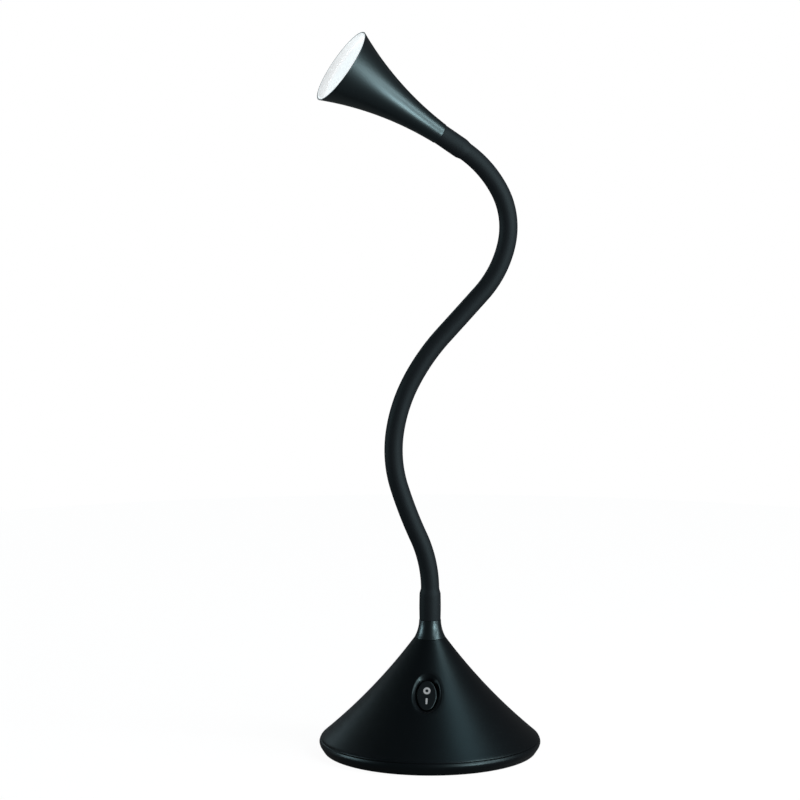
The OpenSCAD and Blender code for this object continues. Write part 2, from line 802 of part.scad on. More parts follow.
module heat_sink() {
    stack = sink_fins * sink_fin_pitch;
    color(ALUMINIUM) on_head() difference() {
        union() {
            translate([0, 0, plate_z]) cylinder(r = sink_plate_r, h = sink_plate_t);
            translate([0, 0, plate_z - stack]) cylinder(r = sink_core_r, h = stack);
            for (i = [1:sink_fins]) let (z = plate_z - i * sink_fin_pitch)
                translate([0, 0, z]) cylinder(r = fin_r_at(z), h = sink_fin_t);
        }
        translate([0, 0, plate_z - stack - over])
            cylinder(r = sink_bore_r, h = stack + sink_plate_t + 2 * over);
        at_circle(led_screw_circle, led_screw_angles)
            translate([0, 0, board_z + led_board_t - led_screw_len - 2 * snug_gap])
                cylinder(r = led_screw_r + snug_gap, h = led_screw_len);
    }
}

module led_board() {
    color(WHITE) on_head() translate([0, 0, board_z]) difference() {
        cylinder(r = led_board_r, h = led_board_t);
        translate([0, 0, -over]) cylinder(r = led_board_hole_r, h = led_board_t + 2 * over);
        at_circle(led_screw_circle, led_screw_angles)
            translate([0, 0, -over]) cylinder(r = led_screw_r + slip_gap, h = led_board_t + 2 * over);
    }
}

module led_chips() {
    color([0.95, 0.85, 0.40]) on_head() translate([0, 0, board_z + led_board_t])
        at_circle(chip_circle, [for (i = [0:chip_count - 1]) 360 * i / chip_count])
            translate([-chip_size / 2, -chip_size / 2, 0]) cube([chip_size, chip_size, chip_t]);
}

module led_screws() {
    color(STEEL) on_head() translate([0, 0, board_z + led_board_t])
        at_circle(led_screw_circle, led_screw_angles)
            rotate([180, 0, 0]) pan_screw(led_screw_r, led_screw_len, led_screw_head_r, led_screw_head_h);
}

module head_reflector() {
    ring_off = lip_wall + slip_gap;
    body_off = head_wall + slip_gap;
    color(WHITE) on_head() rotate_extrude($fn = 96) difference() {
        union() {
            head_inside(body_off, reflector_z, diffuser_z - rim_step + 2 * snug_gap);
            head_inside(ring_off, diffuser_z - rim_step + snug_gap, head_len - rim_below_lip);
        }
        head_inside(body_off + reflector_wall, reflector_z - over, diffuser_z);
        head_inside(ring_off + rim_ring, diffuser_z, head_len + over);
    }
}

module head_diffuser() {
    color([0.97, 0.97, 0.96, 0.8]) on_head() rotate_extrude($fn = 96)
        head_inside(lip_wall + slip_gap + rim_ring + diffuser_gap, diffuser_z, diffuser_z + diffuser_t);
}

module led_wires() {
    end = board_z + led_board_t + led_wire_top;
    color(RED_WIRE) on_head() for (s = [-1, 1])
        translate([s * led_wire_x, 0, lead_head_reach]) cylinder(r = wire_r, h = end - lead_head_reach);
}

// ---- switch ----

module switch_housing() {
    color(BLACK) on_switch() difference() {
        union() {
            translate([-box_a, -box_b, box_floor_z - box_floor_t])
                cube([2 * box_a, 2 * box_b, -box_floor_z + box_floor_t - boss_back]);
            translate([-clip_a, -clip_b - clip_end, -boss_back - clip_t])
                cube([2 * clip_a, 2 * (clip_b + clip_end), clip_t]);
            for (s = [-1, 1]) translate([0, s * clip_b, -boss_back - clip_t])
                cylinder(r = clip_peg_r, h = clip_t + clip_peg_h);
        }
        translate([-box_in_a, -box_in_b, box_floor_z]) cube([2 * box_in_a, 2 * box_in_b, -box_floor_z]);
        translate([0, 0, pivot_z]) rotate([0, 90, 0])
            cylinder(r = pivot_r + run_gap, h = 2 * (box_a + over), center = true);
        for (y = [0, live_y]) translate([0, y, box_floor_z - box_floor_t - over])
            terminal_bar(snug_gap, box_floor_t + 2 * over);
    }
}

// Flat upright bar, grown by off on each side
module terminal_bar(off, h) {
    translate([-terminal_a - off, -terminal_t / 2 - off, 0])
        cube([2 * (terminal_a + off), terminal_t + 2 * off, h]);
}

module switch_terminals() {
    strip_z = contact_pivot_z - contact_t / 2;
    common_top = strip_z - contact_gap;
    live_top = strip_z - live_y * tan(contact_tilt) - live_gap;
    color(BRASS) on_switch() translate([0, 0, terminal_end_z]) {
        terminal_bar(0, common_top - terminal_end_z);
        translate([0, live_y, 0]) terminal_bar(0, live_top - terminal_end_z);
    }
}

module switch_contact() {
    color(BRASS) on_switch() translate([0, 0, contact_pivot_z]) rotate([-contact_tilt, 0, 0])
        translate([-contact_a, -contact_half, -contact_t / 2])
            cube([2 * contact_a, 2 * contact_half, contact_t]);
}

// Side outline of the rocker, Y along the rocker and Z up from its pivot
module rocker_side() {
    half = [[0, face_h], [rocker_b + over, face_h], [rocker_b + over, -skirt_h],
        [hub_b + hub_flare_w, -hub_flare], [hub_b, -hub_h], [0, -hub_h]];
    difference() {
        for (m = [0, 1]) mirror([m, 0]) polygon(half);
        face_round(0);
    }
}

// The round that the rocker's hollow face follows, made smaller by depth
module face_round(depth) {
    translate([0, face_h + face_r - face_dip]) circle(r = face_r - depth, $fn = 240);
}

module switch_rocker() {
    color(BLACK) on_rocker(rocker_tilt) difference() {
        union() {
            intersection() {
                rotate([90, 0, 90]) linear_extrude(2 * (rocker_a + over), center = true) rocker_side();
                translate([0, 0, -hub_h - over])
                    oval_solid(rocker_a, rocker_b + oval_spare, face_h + hub_h + 2 * over);
                rotate([0, 90, 0]) cylinder(r = swing_r, h = 4 * rocker_a, center = true, $fn = 96);
            }
            rotate([0, 90, 0]) cylinder(r = pivot_r, h = 2 * trunnion_end, center = true);
        }
        translate([0, 0, -hub_h - over])
            cylinder(r = plunger_r + 2 * snug_gap, h = over + hub_h + hub_hole_top);
    }
}

// Round and bar on the rocker, following its hollow face
module rocker_marks() {
    color(WHITE) on_rocker(rocker_tilt) intersection() {
        rotate([90, 0, 90]) linear_extrude(4 * rocker_a, center = true) difference() {
            face_round(0);
            face_round(mark_t);
        }
        linear_extrude(face_h + over) {
            translate([0, mark_y]) ring(mark_r, mark_hole_r);
            translate([0, bar_y]) square([bar_w, bar_h], center = true);
        }
    }
}

module switch_plunger() {
    color(STEEL) on_rocker(rocker_tilt) {
        translate([0, 0, -plunger_reach + plunger_r])
            cylinder(r = plunger_r, h = plunger_reach - plunger_r - plunger_back);
        translate([0, 0, -plunger_reach + plunger_r]) sphere(r = plunger_r, $fn = 32);
    }
}

module switch_spring() {
    bottom = spring_wire_r + spring_gap - plunger_back;
    top = hub_hole_top - spring_wire_r - spring_gap;
    turn = 360 / spring_turn_steps;
    n = spring_turns * spring_turn_steps;
    color(STEEL) on_rocker(rocker_tilt)
        bar_along([for (i = [0:n]) [spring_coil_r * cos(turn * i), spring_coil_r * sin(turn * i),
            bottom + (top - bottom) * i / n]], spring_wire_r, 6, [0, 0, 1]);
}

// ---- power socket ----

module dc_jack() {
    color(BLACK) on_jack() difference() {
        union() {
            translate([0, 0, -niche_back - jack_body_len]) cylinder(r = jack_body_r, h = jack_body_len);
            translate([0, 0, -niche_back]) cylinder(r = jack_thread_r, h = niche_back + jack_front);
        }
        translate([0, 0, jack_front - jack_bore_len]) cylinder(r = jack_bore_r, h = jack_bore_len + over);
    }
}

module dc_jack_nut() {
    color(STEEL) on_jack() hex_nut(jack_nut_r, jack_nut_t, jack_thread_r + snug_gap);
}

module dc_jack_pins() {
    back = -niche_back - jack_body_len;
    color(BRASS) on_jack() {
        // Centre pin, standing on the floor of the plug's hole
        translate([0, 0, jack_front - jack_bore_len]) {
            cylinder(r = jack_pin_r, h = jack_pin_len);
            translate([0, 0, jack_pin_len]) sphere(r = jack_pin_r, $fn = 32);
        }
        for (s = [-1, 1]) translate([s * lug_x - lug.x / 2, -lug.y / 2, back - lug.z]) cube(lug);
    }
}

// ---- driver board ----

module at_standoffs() {
    for (x = [-1, 1]) for (y = [-1, 1])
        translate([x * (board_w / 2 - standoff_edge), y * (board_d / 2 - standoff_edge), 0]) children();
}

module driver_board() {
    color([0.10, 0.35, 0.18]) translate([0, 0, board_floor]) {
        difference() {
            translate([-board_w / 2, -board_d / 2, 0]) cube([board_w, board_d, board_t]);
            at_standoffs() translate([0, 0, -over])
                cylinder(r = stud_r + slip_gap, h = board_t + 2 * over);
        }
        translate([chip_at.x - driver_chip.x / 2, chip_at.y - driver_chip.y / 2, board_t])
            cube(driver_chip);
    }
}

module board_capacitor() {
    color([0.12, 0.14, 0.30]) translate([capacitor_at.x, capacitor_at.y, board_top])
        cylinder(r = capacitor_r, h = capacitor_h);
}

module board_inductor() {
    color([0.25, 0.24, 0.23]) translate([inductor_at.x, inductor_at.y, board_top]) {
        cylinder(r = inductor_waist_r, h = inductor_h);
        for (z = [0, inductor_h - inductor_rim]) translate([0, 0, z])
            cylinder(r = inductor_r, h = inductor_rim);
    }
}

module plug_block(at, size) {
    translate([at.x - size.x / 2, at.y - size.y / 2, board_top]) cube(size);
}

module board_connectors() {
    color(WHITE) {
        plug_block(lead_plug_at, lead_plug);
        plug_block(switch_plug_at, wire_plug);
        plug_block(jack_plug_at, wire_plug);
    }
}

module board_standoffs() {
    color(BRASS) at_standoffs() translate([0, 0, weight_top]) {
        translate([0, 0, -stud_len]) cylinder(r = stud_r, h = stud_len);
        difference() {
            cylinder(r = standoff_r, h = standoff_h, $fn = 6);
            translate([0, 0, standoff_hole_z]) cylinder(r = stud_r + snug_gap, h = standoff_h);
        }
    }
}

module board_screws() {
    color(STEEL) at_standoffs() translate([0, 0, board_top]) rotate([180, 0, 0])
        pan_screw(stud_r, board_screw_len, board_head_r, board_head_h);
}

module jack_wires() {
    lug_y = niche_y - niche_back - jack_body_len - lug.z;
    top = board_top + plug_h;
    color(RED_WIRE) for (s = [-1, 1])
        bar_along(curve(concat([for (i = [0:2]) [s * lug_x, lug_y - i * wire_end, jack_z]],
            [[s * 1.6, 20, 25], [s * 1.2, 14, 28.4]],
            [for (i = [2:-1:0]) [s * wire_pitch, jack_plug_at.y, top + i * wire_end]])),
            wire_r, wire_sides, [1, 0, 0]);
}

// From a terminal of the switch, through the points of way, down to the plug's top
module switch_wire(y, way, top) {
    last = way[len(way) - 1];
    bar_along(curve(concat([for (i = [0:2]) from_switch(y, terminal_end_z - i * wire_end)], way,
        [[last.x, last.y, top + wire_end], [last.x, last.y, top]])), wire_r, wire_sides, [0, 1, 1]);
}

module switch_wires() {
    top = board_top + plug_h;
    at = switch_plug_at;
    color([0.15, 0.15, 0.16]) {
        switch_wire(0, [[3, -12.4, 26.6], [6, -10.2, 26.2], [at.x - wire_pitch, at.y, 24]], top);
        switch_wire(live_y, [[4, -8.6, 30.4], [8.6, -8.4, 29], [at.x + wire_pitch, at.y, 25]], top);
    }
}

// ---- the lamp ----

base_cone();
base_pan();
base_weight();
foot_pad();
base_screws();
neck_collar();
neck_lower_fitting();
neck_lock_nut();
switch_housing();
switch_terminals();
switch_contact();
switch_rocker();
rocker_marks();
switch_plunger();
switch_spring();
dc_jack();
dc_jack_nut();
dc_jack_pins();
driver_board();
board_capacitor();
board_inductor();
board_connectors();
board_standoffs();
board_screws();
jack_wires();
switch_wires();
neck_lead();
for (k = [0:NECK]) {
    neck_sleeve(k);
    neck_core(k);
}
head_shell();
head_reflector();
head_diffuser();
led_board();
led_chips();
heat_sink();
led_screws();
neck_upper_fitting();
head_nut();
led_wires();
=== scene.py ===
"""Gooseneck desk lamp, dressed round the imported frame: a cone base with an oval rocker switch, a
bendable neck in a rubber sleeve and a trumpet-shaped head. Everything is in metres."""

import json
import math

import bmesh
import bpy
import numpy as np
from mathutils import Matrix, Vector


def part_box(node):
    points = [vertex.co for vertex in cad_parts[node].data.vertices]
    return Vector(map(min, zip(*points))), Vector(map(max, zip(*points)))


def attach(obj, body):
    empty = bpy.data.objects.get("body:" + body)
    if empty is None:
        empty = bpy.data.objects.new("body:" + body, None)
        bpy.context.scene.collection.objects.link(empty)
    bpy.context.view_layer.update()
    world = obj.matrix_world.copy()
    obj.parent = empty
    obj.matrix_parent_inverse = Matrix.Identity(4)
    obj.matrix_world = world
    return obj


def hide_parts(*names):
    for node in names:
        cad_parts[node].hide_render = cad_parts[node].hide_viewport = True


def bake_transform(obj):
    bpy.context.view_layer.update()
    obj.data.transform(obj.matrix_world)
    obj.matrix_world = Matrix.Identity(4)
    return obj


bl_info = {
    "name": "Gooseneck Desk Lamp",
    "version": (1, 0, 0),
    "blender": (4, 5, 0),
    "location": "3D Viewport > Sidebar > Lamp",
    "description": "Builds the surfaces, materials and studio of a gooseneck desk lamp",
    "category": "Object",
}

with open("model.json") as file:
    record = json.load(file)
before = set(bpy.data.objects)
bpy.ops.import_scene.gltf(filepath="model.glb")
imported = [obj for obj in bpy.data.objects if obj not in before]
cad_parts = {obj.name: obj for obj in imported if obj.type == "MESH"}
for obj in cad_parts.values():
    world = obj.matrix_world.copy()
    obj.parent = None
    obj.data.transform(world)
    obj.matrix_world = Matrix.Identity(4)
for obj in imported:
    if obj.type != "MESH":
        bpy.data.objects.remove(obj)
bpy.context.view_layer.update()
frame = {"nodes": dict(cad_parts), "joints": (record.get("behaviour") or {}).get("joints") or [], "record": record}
MM = 0.001


# ---- measures read from the frame ----

def low(node):
    """Lowest corner of a frame node's box."""
    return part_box(node)[0]


def high(node):
    """Highest corner of a frame node's box."""
    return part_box(node)[1]


def joints_named(start):
    """The frame's joints whose names begin with start, in the record's order."""
    return [j for j in frame["joints"] if j["name"].startswith(start)]


NECK_JOINTS = joints_named("neck_")
ROCKER_JOINT = joints_named("switch_")[0]
SEAM_Z = low("base_cone").z
CONE_TOP_Z = high("base_cone").z
BASE_R = max(*high("base_pan")[:2])
COLLAR_TOP_Z = high("neck_collar").z
CONE_TOP_R = high("neck_collar").x
NECK_FOOT_Z = low("neck_sleeve_00").z
PAD_R = high("foot_pad").x
PAD_T = high("foot_pad").z
JACK_Z = (low("dc_jack_nut").z + high("dc_jack_nut").z) / 2
NICHE_Y = low("dc_jack_nut").y
UP = np.array([0.0, 0.0, 1.0])
# The lead's way up from its plug: millimetres across in the neck's plane, and height.
LEAD_STOPS = ((-12, 21.6), (-12, 24), (-12, 27), (-10.5, 33), (-7, 42), (-2.5, 50), (-0.5, 55),
              (0, 64), (0, 69.5))


# ---- sizes and colours that a user would change ----

def number(name, text, value, **more):
    """A number with its default."""
    return bpy.props.FloatProperty(name=name, description=text, default=value, **more)


def length(name, text, mm):
    """A length, given in millimetres."""
    return number(name, text, mm * MM, unit="LENGTH", precision=5)


def angle(name, text, degrees):
    """An angle, given in degrees."""
    return number(name, text, math.radians(degrees), subtype="ANGLE")


def share(name, text, value):
    """A number from 0 to 1."""
    return number(name, text, value, min=0, max=1, subtype="FACTOR")


def count(name, text, value):
    """A whole number of steps."""
    return bpy.props.IntProperty(name=name, description=text, default=value, min=4)


def colour(name, text, value):
    """A colour, given as linear light."""
    return bpy.props.FloatVectorProperty(
        name=name, description=text, default=value, subtype="COLOR", size=3, min=0, max=1)


class LampShape(bpy.types.PropertyGroup):
    """Sizes of the lamp's visible surfaces."""
    flank_curve: length("Flank curve", "Radius of the cone's hollow side", 355)
    shoulder: length("Shoulder", "Radius of the round that the seam runs round", 5)
    belly: length("Belly", "Height at which the base is widest", 5.7)
    cover_wall: length("Cover wall", "Wall of the cone cover", 2.4)
    deck: length("Deck", "Thickness of the cover's flat top", 5.5)
    neck_hole: length("Neck hole", "Radius of the hole in the cover's top", 5.1)
    switch_height: length("Switch height", "Height of the switch's middle", 42)
    switch_sink: length("Switch sink", "Depth of the switch's middle below the side", 0.5)
    dish_half_width: length("Dish half width", "Half width of the oval dish", 9.2)
    dish_depth: length("Dish depth", "Depth of the dish", 2.6)
    rocker_half_width: length("Rocker half width", "Half width of the rocker", 5.9)
    rocker_half_height: length("Rocker half height", "Half height of the rocker", 9.3)
    rocker_gap: length("Rocker gap", "Gap at the rocker's side", 0.7)
    rocker_end_gap: length("Rocker end gap", "Gap at the rocker's ends", 0.9)
    rocker_face: length("Rocker face", "Height of the rocker's ends over its pivot", 3.9)
    rocker_dip: length("Rocker dip", "Depth of the rocker's hollow face", 0.5)
    rocker_tilt: angle("Rocker tilt", "Lean of the pressed rocker", 9)
    niche_radius: length("Socket recess", "Radius of the recess of the power socket", 7.2)
    niche_wall: length("Recess wall", "Wall round the recess", 1.8)
    niche_back: length("Recess back", "Thickness of the recess's back wall", 2.2)
    jack_hole: length("Socket hole", "Radius of the hole that the socket sits in", 4.1)
    collar_curve: length("Collar curve", "Radius of the collar's hollow side", 23)
    collar_tip: length("Collar tip", "Radius of the collar's upper edge", 6.5)
    sleeve_radius: length("Sleeve", "Radius of the neck's sleeve", 5.45)
    sleeve_bore: length("Sleeve bore", "Radius of the sleeve's inside", 4.05)
    fitting: length("Fitting", "Length of the neck's foot that its fitting holds", 13)
    tip_length: length("Tip", "Length of the neck's straight end", 17.5)
    tip_bend: length("Tip bend", "How far the last bend reaches into the tip", 4.5)
    foot_cuff: length("Foot cuff", "Radius of the thick sleeve at the neck's foot", 6.3)
    tip_cuff: length("Tip cuff", "Radius of the thick sleeve at the head", 6.15)
    cuff_bulge: length("Cuff bulge", "How far the foot cuff swells at its middle", 0.12)
    cuff_length: length("Cuff", "Length of the thick sleeve over a fitting", 15.3)
    cuff_taper: length("Cuff taper", "Length of the taper at a cuff's end", 3.8)
    lead_radius: length("Lead", "Radius of the lead through the neck", 1.6)
    lead_reach: length("Lead reach", "How far the lead runs on into the head", 27.6)
    head_length: length("Head", "Length of the lamp head", 72)
    head_foot: length("Head foot", "Radius of the head at the neck", 6.4)
    mouth: length("Mouth", "Radius of the head's mouth", 23.9)
    head_curve: length("Head curve", "Radius of the head's hollow side", 197)
    head_wall: length("Head wall", "Wall of the head shell", 1.6)
    lip_wall: length("Lip wall", "Wall of the head shell round the diffuser", 0.9)
    lip_edge: length("Lip edge", "Width of the head shell's edge", 0.5)
    diffuser_depth: length("Diffuser depth", "Depth of the diffuser below the lip", 2.9)
    diffuser_thickness: length("Diffuser thickness", "Thickness of the diffuser", 1.6)
    pan_lean: length("Pan lean", "How far the pan's side leans in at its foot", 2.9)
    seam_round: length("Seam round", "Radius of the pan's edge at the seam", 0.8)
    edge_round: length("Edge round", "Radius of the moulded edges", 0.3)
    turns: count("Turns", "Steps round the lamp's axis", 240)
    head_turns: count("Head turns", "Steps round the head's axis", 192)
    mouth_turns: count("Mouth turns", "Steps round the pieces in the head's mouth", 160)
    flank_rows: count("Flank rows", "Steps up the cone's side", 66)


class LampFinish(bpy.types.PropertyGroup):
    """Colours and gloss of the lamp's surfaces."""
    satin_black: colour("Satin black", "Cover, pan and head", (0.0018, 0.0020, 0.0028))
    gloss_black: colour("Gloss black", "Collar", (0.0030, 0.0038, 0.0044))
    sleeve_black: colour("Sleeve black", "Rubber of the neck", (0.0085, 0.0100, 0.0120))
    switch_black: colour("Switch black", "Rocker and its housing", (0.0045, 0.0052, 0.0062))
    sheen_tint: colour("Sheen tint", "Tint of what the black plastics reflect", (0.62, 0.93, 1.0))
    print_white: colour("Print white", "Round and bar on the rocker", (0.42, 0.44, 0.45))
    shade_white: colour("Shade white", "Ring and reflector inside the mouth", (0.80, 0.83, 0.84))
    opal_white: colour("Opal white", "Diffuser", (0.86, 0.88, 0.89))
    cover_gloss: share("Cover roughness", "Roughness of the cover and the pan", 0.36)
    head_gloss: share("Head roughness", "Roughness of the lamp head", 0.36)
    sleeve_gloss: share("Sleeve roughness", "Roughness of the rubber", 0.62)


class LampStage(bpy.types.PropertyGroup):
    """Camera and studio."""
    azimuth: angle("Azimuth", "Turn of the camera about the lamp", 4)
    elevation: angle("Elevation", "Camera's angle above the horizon", 9.976)
    distance: length("Distance", "From the camera to its target", 3000)
    target_height: length("Target height", "Height that the camera looks at", 212.94)
    target_side: length("Target side", "Target's distance from the axis, to the right", -17.9)
    lens: number("Lens", "Focal length in millimetres", 228.35)
    lamp_distance: length("Lamp distance", "From the studio's lamps to their target", 1600)
    lamp_target: length("Lamp target", "Height that the studio's lamps aim at", 200)
    backdrop_in_gloss: share("Backdrop in gloss", "How bright reflections see the backdrop", 0.04)
    floor_glow: share("Floor glow", "Brightness of the floor to the camera", 0.955)
    floor_shadow: share("Floor shadow", "Share of the plain floor that keeps shadows", 0.8)
    sky_strength: number("Sky strength", "Light from all round", 0.03, min=0)
    sky_tint: colour("Sky tint", "Tint of the light from all round", (0.9, 0.97, 1.0))


def shape():
    """The sizes as they are set in the scene."""
    return bpy.context.scene.lamp_shape


# ---- curves in a plane ----

def once_round(steps):
    """Angles of so many even steps once round."""
    return np.linspace(0, 2 * math.pi, steps, endpoint=False)


def unit(t):
    """The plane's unit vectors (cos t, sin t) at angles t."""
    return np.stack([np.cos(t), np.sin(t)], -1)


def polar(points):
    """Angles at which a plane's points lie round its origin."""
    return np.arctan2(points[..., 1], points[..., 0])


def arc_centre(a, b, radius):
    """Centre of the circle through a and b that lies to the right of the way from a to b."""
    a, b = np.array(a), np.array(b)
    d = b - a
    half = np.linalg.norm(d) / 2
    right = np.array([d[1], -d[0]]) / (2 * half)
    return (a + b) / 2 + right * math.sqrt(radius ** 2 - half ** 2)


def arc_points(a, b, radius, steps, grow=0.0):
    """Points on that circle from a to b, moved away from its centre by grow."""
    a, b = np.array(a), np.array(b)
    c = arc_centre(a, b, radius)
    turn = 2 * math.asin(np.linalg.norm(b - a) / 2 / radius)
    return c + (radius + grow) * unit(polar(a - c) - turn * np.linspace(0, 1, steps + 1))


def rounded(points, steps=4):
    """A closed outline from rows of (x, y, fillet radius): each corner with a radius becomes an
    arc that touches both of its sides, and the others stay as they are."""
    out = []
    n = len(points)
    for i, (x, y, radius) in enumerate(points):
        p = np.array([x, y])
        if radius <= 0:
            out.append(p)
            continue
        before = np.array(points[i - 1][:2]) - p
        after = np.array(points[(i + 1) % n][:2]) - p
        before /= np.linalg.norm(before)
        after /= np.linalg.norm(after)
        half = math.acos(np.clip(before @ after, -1, 1)) / 2
        middle = (before + after) / np.linalg.norm(before + after)
        centre = p + middle * radius / math.sin(half)
        reach = radius / math.tan(half)
        a, b = p + before * reach - centre, p + after * reach - centre
        for t in np.linspace(0, 1, steps + 1):
            v = a * (1 - t) + b * t
            out.append(centre + v / np.linalg.norm(v) * radius)
    return np.array(out)


# ---- meshes from grids ----

def quads_of(rows, cols, first=0, ring_rows=False):
    """Corner numbers of the quads of a grid whose rows are rings; ring_rows joins its last row
    to its first."""
    r, c = np.meshgrid(np.arange(rows if ring_rows else rows - 1), np.arange(cols), indexing="ij")
    up, along = (r + 1) % rows, (c + 1) % cols
    corners = [r * cols + c, r * cols + along, up * cols + along, up * cols + c]
    return first + np.stack(corners, -1).reshape(-1, 4)


def fill_mesh(mesh, points, quads, merge=2e-7):
    """Writes points and quads into a mesh, merges what coincides and turns every face outwards."""
    mesh.from_pydata(np.asarray(points).tolist(), [], np.asarray(quads).tolist())
    bm = bmesh.new()
    bm.from_mesh(mesh)
    bmesh.ops.remove_doubles(bm, verts=bm.verts, dist=merge)
    bmesh.ops.dissolve_degenerate(bm, dist=1e-8, edges=bm.edges)
    bmesh.ops.recalc_face_normals(bm, faces=bm.faces)
    bm.to_mesh(mesh)
    bm.free()


def add_piece(name, points, quads, finish_name, slot, sharp=35):
    """A new object from a grid, smooth but for edges sharper than the given angle in degrees."""
    mesh = bpy.data.meshes.new(name)
    fill_mesh(mesh, points, quads)
    mesh.materials.append(finish(finish_name))
    mesh.shade_smooth()
    mesh.set_sharp_from_angle(angle=math.radians(sharp))
    piece = bpy.data.objects.new(name, mesh)
    bpy.context.scene.collection.objects.link(piece)
    return piece


def lathe(outline, steps, origin=(0, 0, 0), axis=UP):
    """A closed outline of (radius, height) turned once about an axis through origin: a point is
    origin + radius * (cos t, sin t) across the axis + height along it."""
    axis = np.array(axis, float)
    side = np.cross(axis, [0, 1, 0]) if abs(axis[1]) < 0.9 else np.cross(axis, [1, 0, 0])
    side /= np.linalg.norm(side)
    other = np.cross(axis, side)
    across = unit(once_round(steps)) @ [side, other]
    outline = np.asarray(outline)
    points = (np.array(origin) + outline[:, 0, None, None] * across[None]
              + outline[:, 1, None, None] * axis)
    return points.reshape(-1, 3), quads_of(len(outline), steps, ring_rows=True)


# ---- shader groups ----

def feed(tree, socket, value):
    """Links an output to a socket, or sets the socket to a plain value."""
    if isinstance(value, bpy.types.NodeSocket):
        tree.links.new(value, socket)
    else:
        socket.default_value = value


def add_node(tree, kind, *inputs, **values):
    """A shader node: a value goes to the socket or else the setting of its name, and the inputs
    go to the first sockets in their order."""
    node = tree.nodes.new(kind)
    for key, value in values.items():
        if key in node.inputs:
            feed(tree, node.inputs[key], value)
        else:
            setattr(node, key, value)
    for socket, value in zip(node.inputs, inputs):
        feed(tree, socket, value)
    return node


def maths(tree, operation, *inputs, clamp=False):
    """The output of a math node."""
    node = add_node(tree, "ShaderNodeMath", *inputs, operation=operation, use_clamp=clamp)
    return node.outputs[0]


def new_group(name, inputs, outputs):
    """An empty node group with named float or colour sockets; its inner ends are given back."""
    tree = bpy.data.node_groups.new(name, "ShaderNodeTree")
    for text, kind, value in inputs:
        socket = tree.interface.new_socket(text, in_out="INPUT", socket_type="NodeSocket" + kind)
        socket.default_value = value
    for text, kind in outputs:
        tree.interface.new_socket(text, in_out="OUTPUT", socket_type="NodeSocket" + kind)
    return tree, tree.nodes.new("NodeGroupInput").outputs, tree.nodes.new("NodeGroupOutput").inputs


def grain_group():
    """Moulded grain: a fine noise gives the height, and a slow one moves the roughness and the
    brightness of the colour a little either way."""
    tree, given, out = new_group(
        "Moulded grain",
        [("Color", "Color", (0.01, 0.01, 0.01, 1)), ("Roughness", "Float", 0.4),
         ("Grain scale", "Float", 2600.0), ("Mottle scale", "Float", 60.0),
         ("Mottle", "Float", 0.06), ("Gloss drift", "Float", 0.05)],
        [("Color", "Color"), ("Roughness", "Float"), ("Height", "Float")])
    place = add_node(tree, "ShaderNodeTexCoord").outputs["Object"]
    grain, mottle = (
        add_node(tree, "ShaderNodeTexNoise", Vector=place, Scale=given[scale], Detail=detail,
                 Roughness=roughness).outputs["Fac"]
        for scale, detail, roughness in (("Grain scale", 2.0, 0.5), ("Mottle scale", 3.0, 0.55)))
    centred = maths(tree, "SUBTRACT", mottle, 0.5)
    bright = maths(tree, "MULTIPLY_ADD", centred, given["Mottle"], 1.0)
    tint = add_node(tree, "ShaderNodeVectorMath", given["Color"], operation="SCALE", Scale=bright)
    feed(tree, out["Color"], tint.outputs[0])
    feed(tree, out["Roughness"], maths(tree, "MULTIPLY_ADD", centred, given["Gloss drift"],
                                       given["Roughness"], clamp=True))
    feed(tree, out["Height"], grain)
    return tree


def dust_group():
    """Fine dust: sparse specks where a small noise passes a threshold, more on faces that look
    up, given as a mask from 0 to 1."""
    tree, given, out = new_group(
        "Fine dust", [("Amount", "Float", 0.1), ("Speck scale", "Float", 900.0)],
        [("Mask", "Float")])
    place = add_node(tree, "ShaderNodeTexCoord").outputs["Object"]
    specks = add_node(tree, "ShaderNodeTexNoise", Vector=place, Scale=given["Speck scale"],
                      Detail=1.0)
    sparse = add_node(tree, "ShaderNodeMapRange", specks.outputs["Fac"], 0.66, 0.78)
    normal = add_node(tree, "ShaderNodeNewGeometry").outputs["Normal"]
    height = add_node(tree, "ShaderNodeSeparateXYZ", normal).outputs["Z"]
    upward = add_node(tree, "ShaderNodeMapRange", height, -0.2)
    both = maths(tree, "MULTIPLY", sparse.outputs["Result"], upward.outputs["Result"])
    feed(tree, out["Mask"], maths(tree, "MULTIPLY", both, given["Amount"], clamp=True))
    return tree


def group_named(name, make):
    """The node group of that name, made once."""
    return bpy.data.node_groups.get(name) or make()


